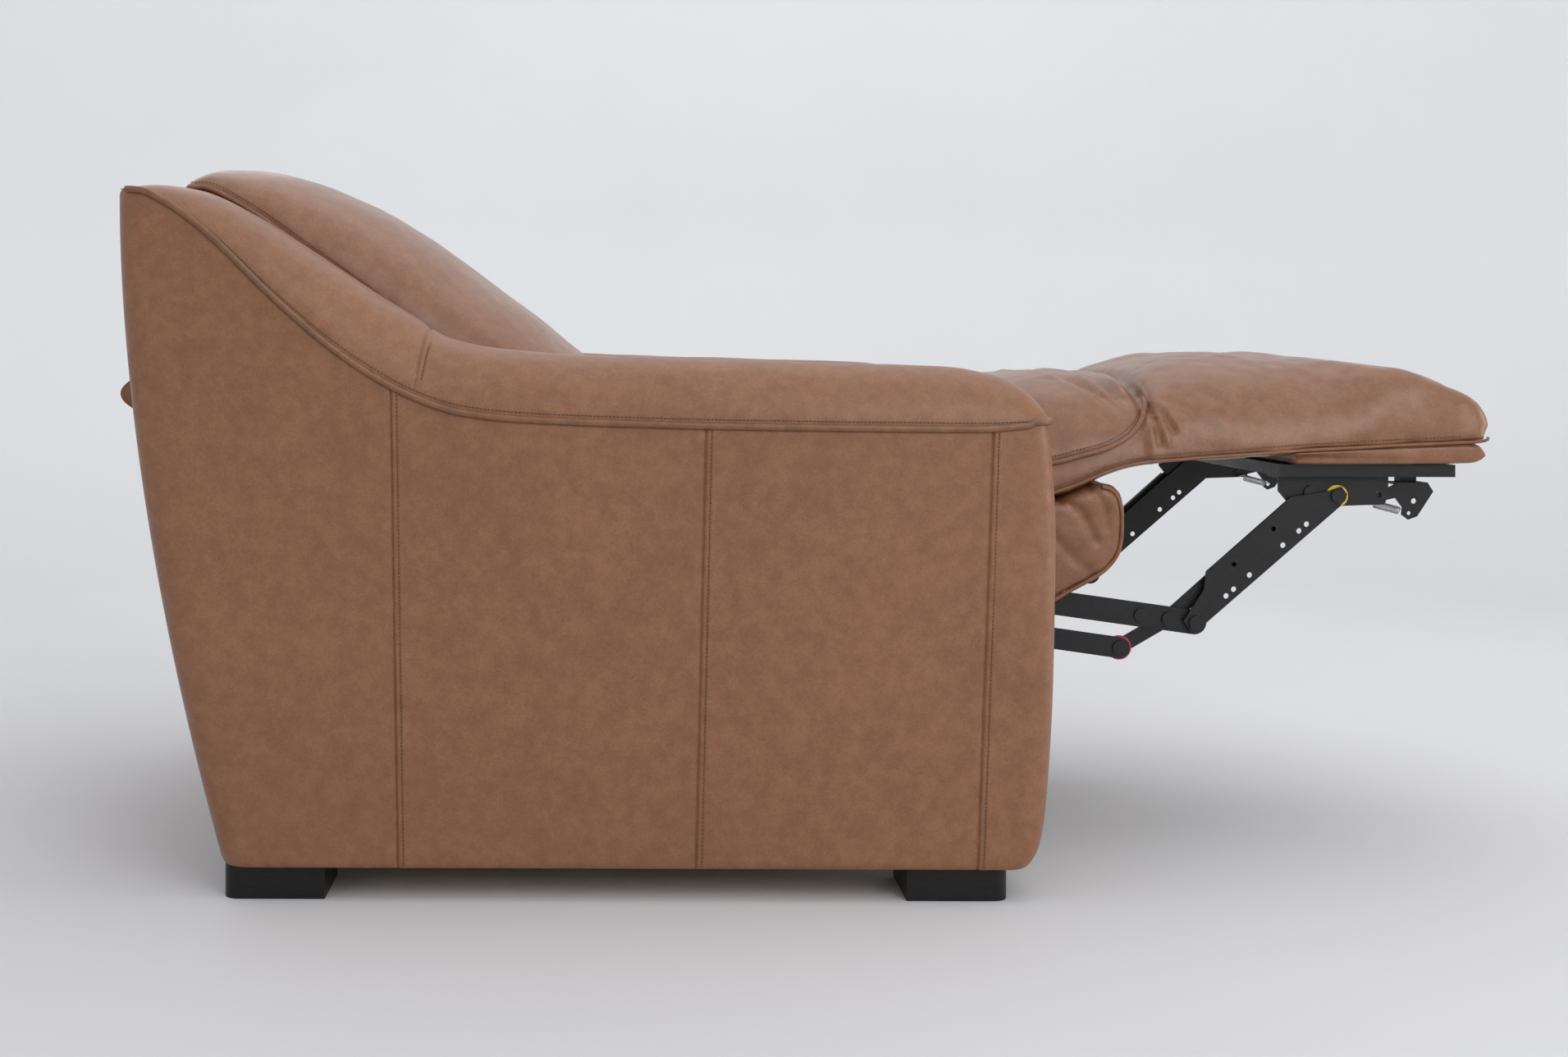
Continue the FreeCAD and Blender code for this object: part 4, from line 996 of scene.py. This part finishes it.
def front_pad():
    outline = smooth_path(FRONT_PAD + FRONT_PAD[:1], 90)[:-1]
    rings = []
    for y in pad_stations(16, 9, 18, 90):
        ring = FRONT_PAD_CENTRE + (outline - FRONT_PAD_CENTRE) * (0.80 + 0.20 * round_off(y, 16))
        lowest = 342 - 34 * clamp((abs(y) - 262) / 8)
        ring[:, 1] = np.maximum(ring[:, 1], lowest)
        sag = 2.5 * math.sin(y / 61.0) + 1.5 * math.sin(y / 23.0 + 2)
        ring[:, 0] += clamp((ring[:, 0] - 1120) / 70) * sag
        rings.append(np.column_stack([ring[:, 0], np.full(len(ring), y), ring[:, 1]]))
    obj = grid_mesh("front_pad_leather", np.array(rings), SEAT, close_v=True, cap=True)

    def held(p):
        rear = clamp((1110 - p[:, 0]) / 15)
        low = clamp((356 - p[:, 2]) / 10)
        edge = clamp((np.abs(p[:, 1]) - CUSHION_HALF + 14) / 10)
        return np.maximum.reduce([rear, low, edge])

    inflate(obj, 6.0, held)

    def gathers(p):
        creases = np.zeros(len(p))
        for line, width, depth in PAD_CREASES:
            creases -= depth * bell(distance_to_line(p, np.array(line)), width)
        near_end = clamp((np.abs(p[:, 1]) - CUSHION_HALF + 70) / 60)
        return 1.5 * value_noise(p, 120, 61) + 0.5 * value_noise(p, 45, 67) + creases * near_end

    push(obj, gathers)
    return obj


def front_pad_trim():
    line = FRONT_PAD_CENTRE + (smooth_path(FRONT_PAD[3:13], 90) - FRONT_PAD_CENTRE) * 0.93
    return seam_tubes("front_pad_welt", line, CUSHION_HALF - 3.0, (2.4, 2.6), (0.3, 1, 0))


def extension_springs():
    turns, radius = 15, 4.2
    a = np.array([1509.0, 0, 436.0])
    b = np.array([1546.0, 0, 426.5])
    low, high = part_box("footrest_springs")
    y_side = high.y / MM - 5.0
    along = (b - a) / np.linalg.norm(b - a)
    across = np.cross(along, [0, 1, 0])
    pieces = []
    for side, word in SIDES:
        centre_y = np.array([0, side * y_side, 0])
        t = np.linspace(0, 1, turns * 16)
        coil = [a + centre_y + (b - a) * (0.1 + 0.8 * s)
                + radius * (math.cos(2 * math.pi * turns * s) * across
                            + math.sin(2 * math.pi * turns * s) * np.array([0, 1, 0])) for s in t]
        lead_in = [a + centre_y - along * 5, a + centre_y - along * 2 + across * 2]
        lead_out = [b + centre_y + across * 2, b + centre_y + along * 5 + across * 0.5]
        path = np.vstack([lead_in, coil, lead_out])
        pieces.append(tube("extension_spring_" + word, path, (0.75, 0.75), ZINC, (0.3, 0.2, 1.0)))
    return pieces


# ------------------------ studio
def studio():
    material, tree, shader = node_material("studio_paper")
    coords = object_coords(tree)
    soft = noise(tree, coords, 1.2, 2.0)
    tree.links.new(ramp(tree, soft, ((0.2, (0.650, 0.653, 0.662)), (0.8, (0.675, 0.678, 0.687)))),
                   shader.inputs["Base Color"])
    shader.inputs["Roughness"].default_value = 0.75
    # Painted light: the sweep glows by itself, with none on the floor and rising up the wall to about 0.9 m,
    # so it brightens the backdrop like a lamp.
    height = add_node(tree, "ShaderNodeSeparateXYZ")
    tree.links.new(coords, height.inputs[0])
    painted_backdrop_light = ramp(tree, height.outputs["Z"], ((0.02, (0.0, 0.0, 0.0)), (0.9, (0.085, 0.086, 0.088))))
    tree.links.new(painted_backdrop_light, shader.inputs["Emission Color"])
    shader.inputs["Emission Strength"].default_value = 1.0
    profile = [(0.0, 0.0)] + [(r, 0.0) for r in (0.8, 1.6, 2.4, 3.0)]
    for a in np.linspace(0, math.pi / 2, 14)[1:]:
        profile.append((3.0 + 1.1 * math.sin(a), 1.1 * (1 - math.cos(a))))
    profile += [(4.1, 2.0), (4.1, 4.2)]
    rings = []
    for a in np.linspace(0, 2 * math.pi, 96, endpoint=False):
        rings.append([(r * math.cos(a), r * math.sin(a), z) for r, z in profile])
    faces = grid_faces(len(rings), len(profile), close_u=True)
    new_mesh("studio_sweep", np.array(rings).reshape(-1, 3), faces, material)
    world_settings = bpy.context.scene.world or bpy.data.worlds.new("studio")
    bpy.context.scene.world = world_settings
    world_settings.use_nodes = True
    background = world_settings.node_tree.nodes["Background"]
    background.inputs["Color"].default_value = (0.93, 0.95, 1.0, 1.0)
    background.inputs["Strength"].default_value = 0.85
    lights = (("top_softbox", (0.3, -0.3, 3.6), (0.0, 0.0, 0.4), 3.6, 22.0),
              ("right_softbox", (3.5, -0.7, 1.3), (0.4, -0.1, 0.2), 1.8, 26.0),
              ("backdrop_light", (0.2, 2.0, 3.6), (0.2, 4.1, 1.3), 2.6, 24.0),
              ("camera_softbox", (1.4, -3.3, 2.2), (0.1, 0.0, 0.45), 2.2, 41.0),
              ("rear_softbox", (-1.8, 3.0, 2.4), (0.0, 0.0, 0.5), 2.0, 7.0))
    for name, spot, target, size, power in lights:
        data = bpy.data.lights.new(name, "AREA")
        data.shape = "SQUARE"
        data.size = size
        data.energy = power
        data.color = (1.0, 0.985, 0.97)
        lamp = bpy.data.objects.new(name, data)
        bpy.context.scene.collection.objects.link(lamp)
        lamp.location = spot
        lamp.rotation_euler = (Vector(target) - Vector(spot)).to_track_quat("-Z", "Y").to_euler()


def camera():
    data = bpy.data.cameras.new("photo_camera")
    data.sensor_width = 36.0
    data.lens = 43.25
    data.shift_x = 0.1128
    data.shift_y = -0.1146
    obj = bpy.data.objects.new("photo_camera", data)
    bpy.context.scene.collection.objects.link(obj)
    turn = Matrix.Rotation(math.radians(90), 4, "X") @ Matrix.Rotation(math.radians(0.2), 4, "Z")
    obj.matrix_world = Matrix.Translation((REAR_X + 0.558, -(HALF_WIDTH * MM + 2.124), 0.625)) @ turn
    bpy.context.scene.camera = obj


# ------------------------ assembly
def place(pieces, body, replaced=()):
    pieces = pieces if isinstance(pieces, list) else [pieces]
    for piece in pieces:
        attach(piece, body)
    if replaced:
        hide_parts(*replaced)
    return pieces


def assemble():
    dress_cad_nodes()
    for side, word in SIDES:
        place([side_panel(side), top_panel(side), arm_welt(side), arm_stitches(side)], "base",
              ("arm_cover_" + word,))
    place(rear_panel(), "base", ("rear_cover",))
    place(rear_flap(), "base", ("rear_flap",))

    cushion = back_cushion()
    place(cushion, "back", ("back_cushion",))
    place([back_outside(), *back_trim()], "back")

    seat = chaise()
    trim = chaise_trim()
    for piece in [seat, *trim]:
        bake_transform(piece)
    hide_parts("seat_cushion", "footrest_pad", "chaise_bridge")

    low = lower_pad()
    place(low, "footrest", ("lower_pad",))
    front = front_pad()
    place(front, "seat", ("front_pad",))
    place(front_pad_trim(), "seat")
    place(extension_springs(), "footrest", ("footrest_springs",))


assemble()
studio()
camera()
bpy.context.scene.view_settings.view_transform = "Standard"
bpy.context.view_layer.update()
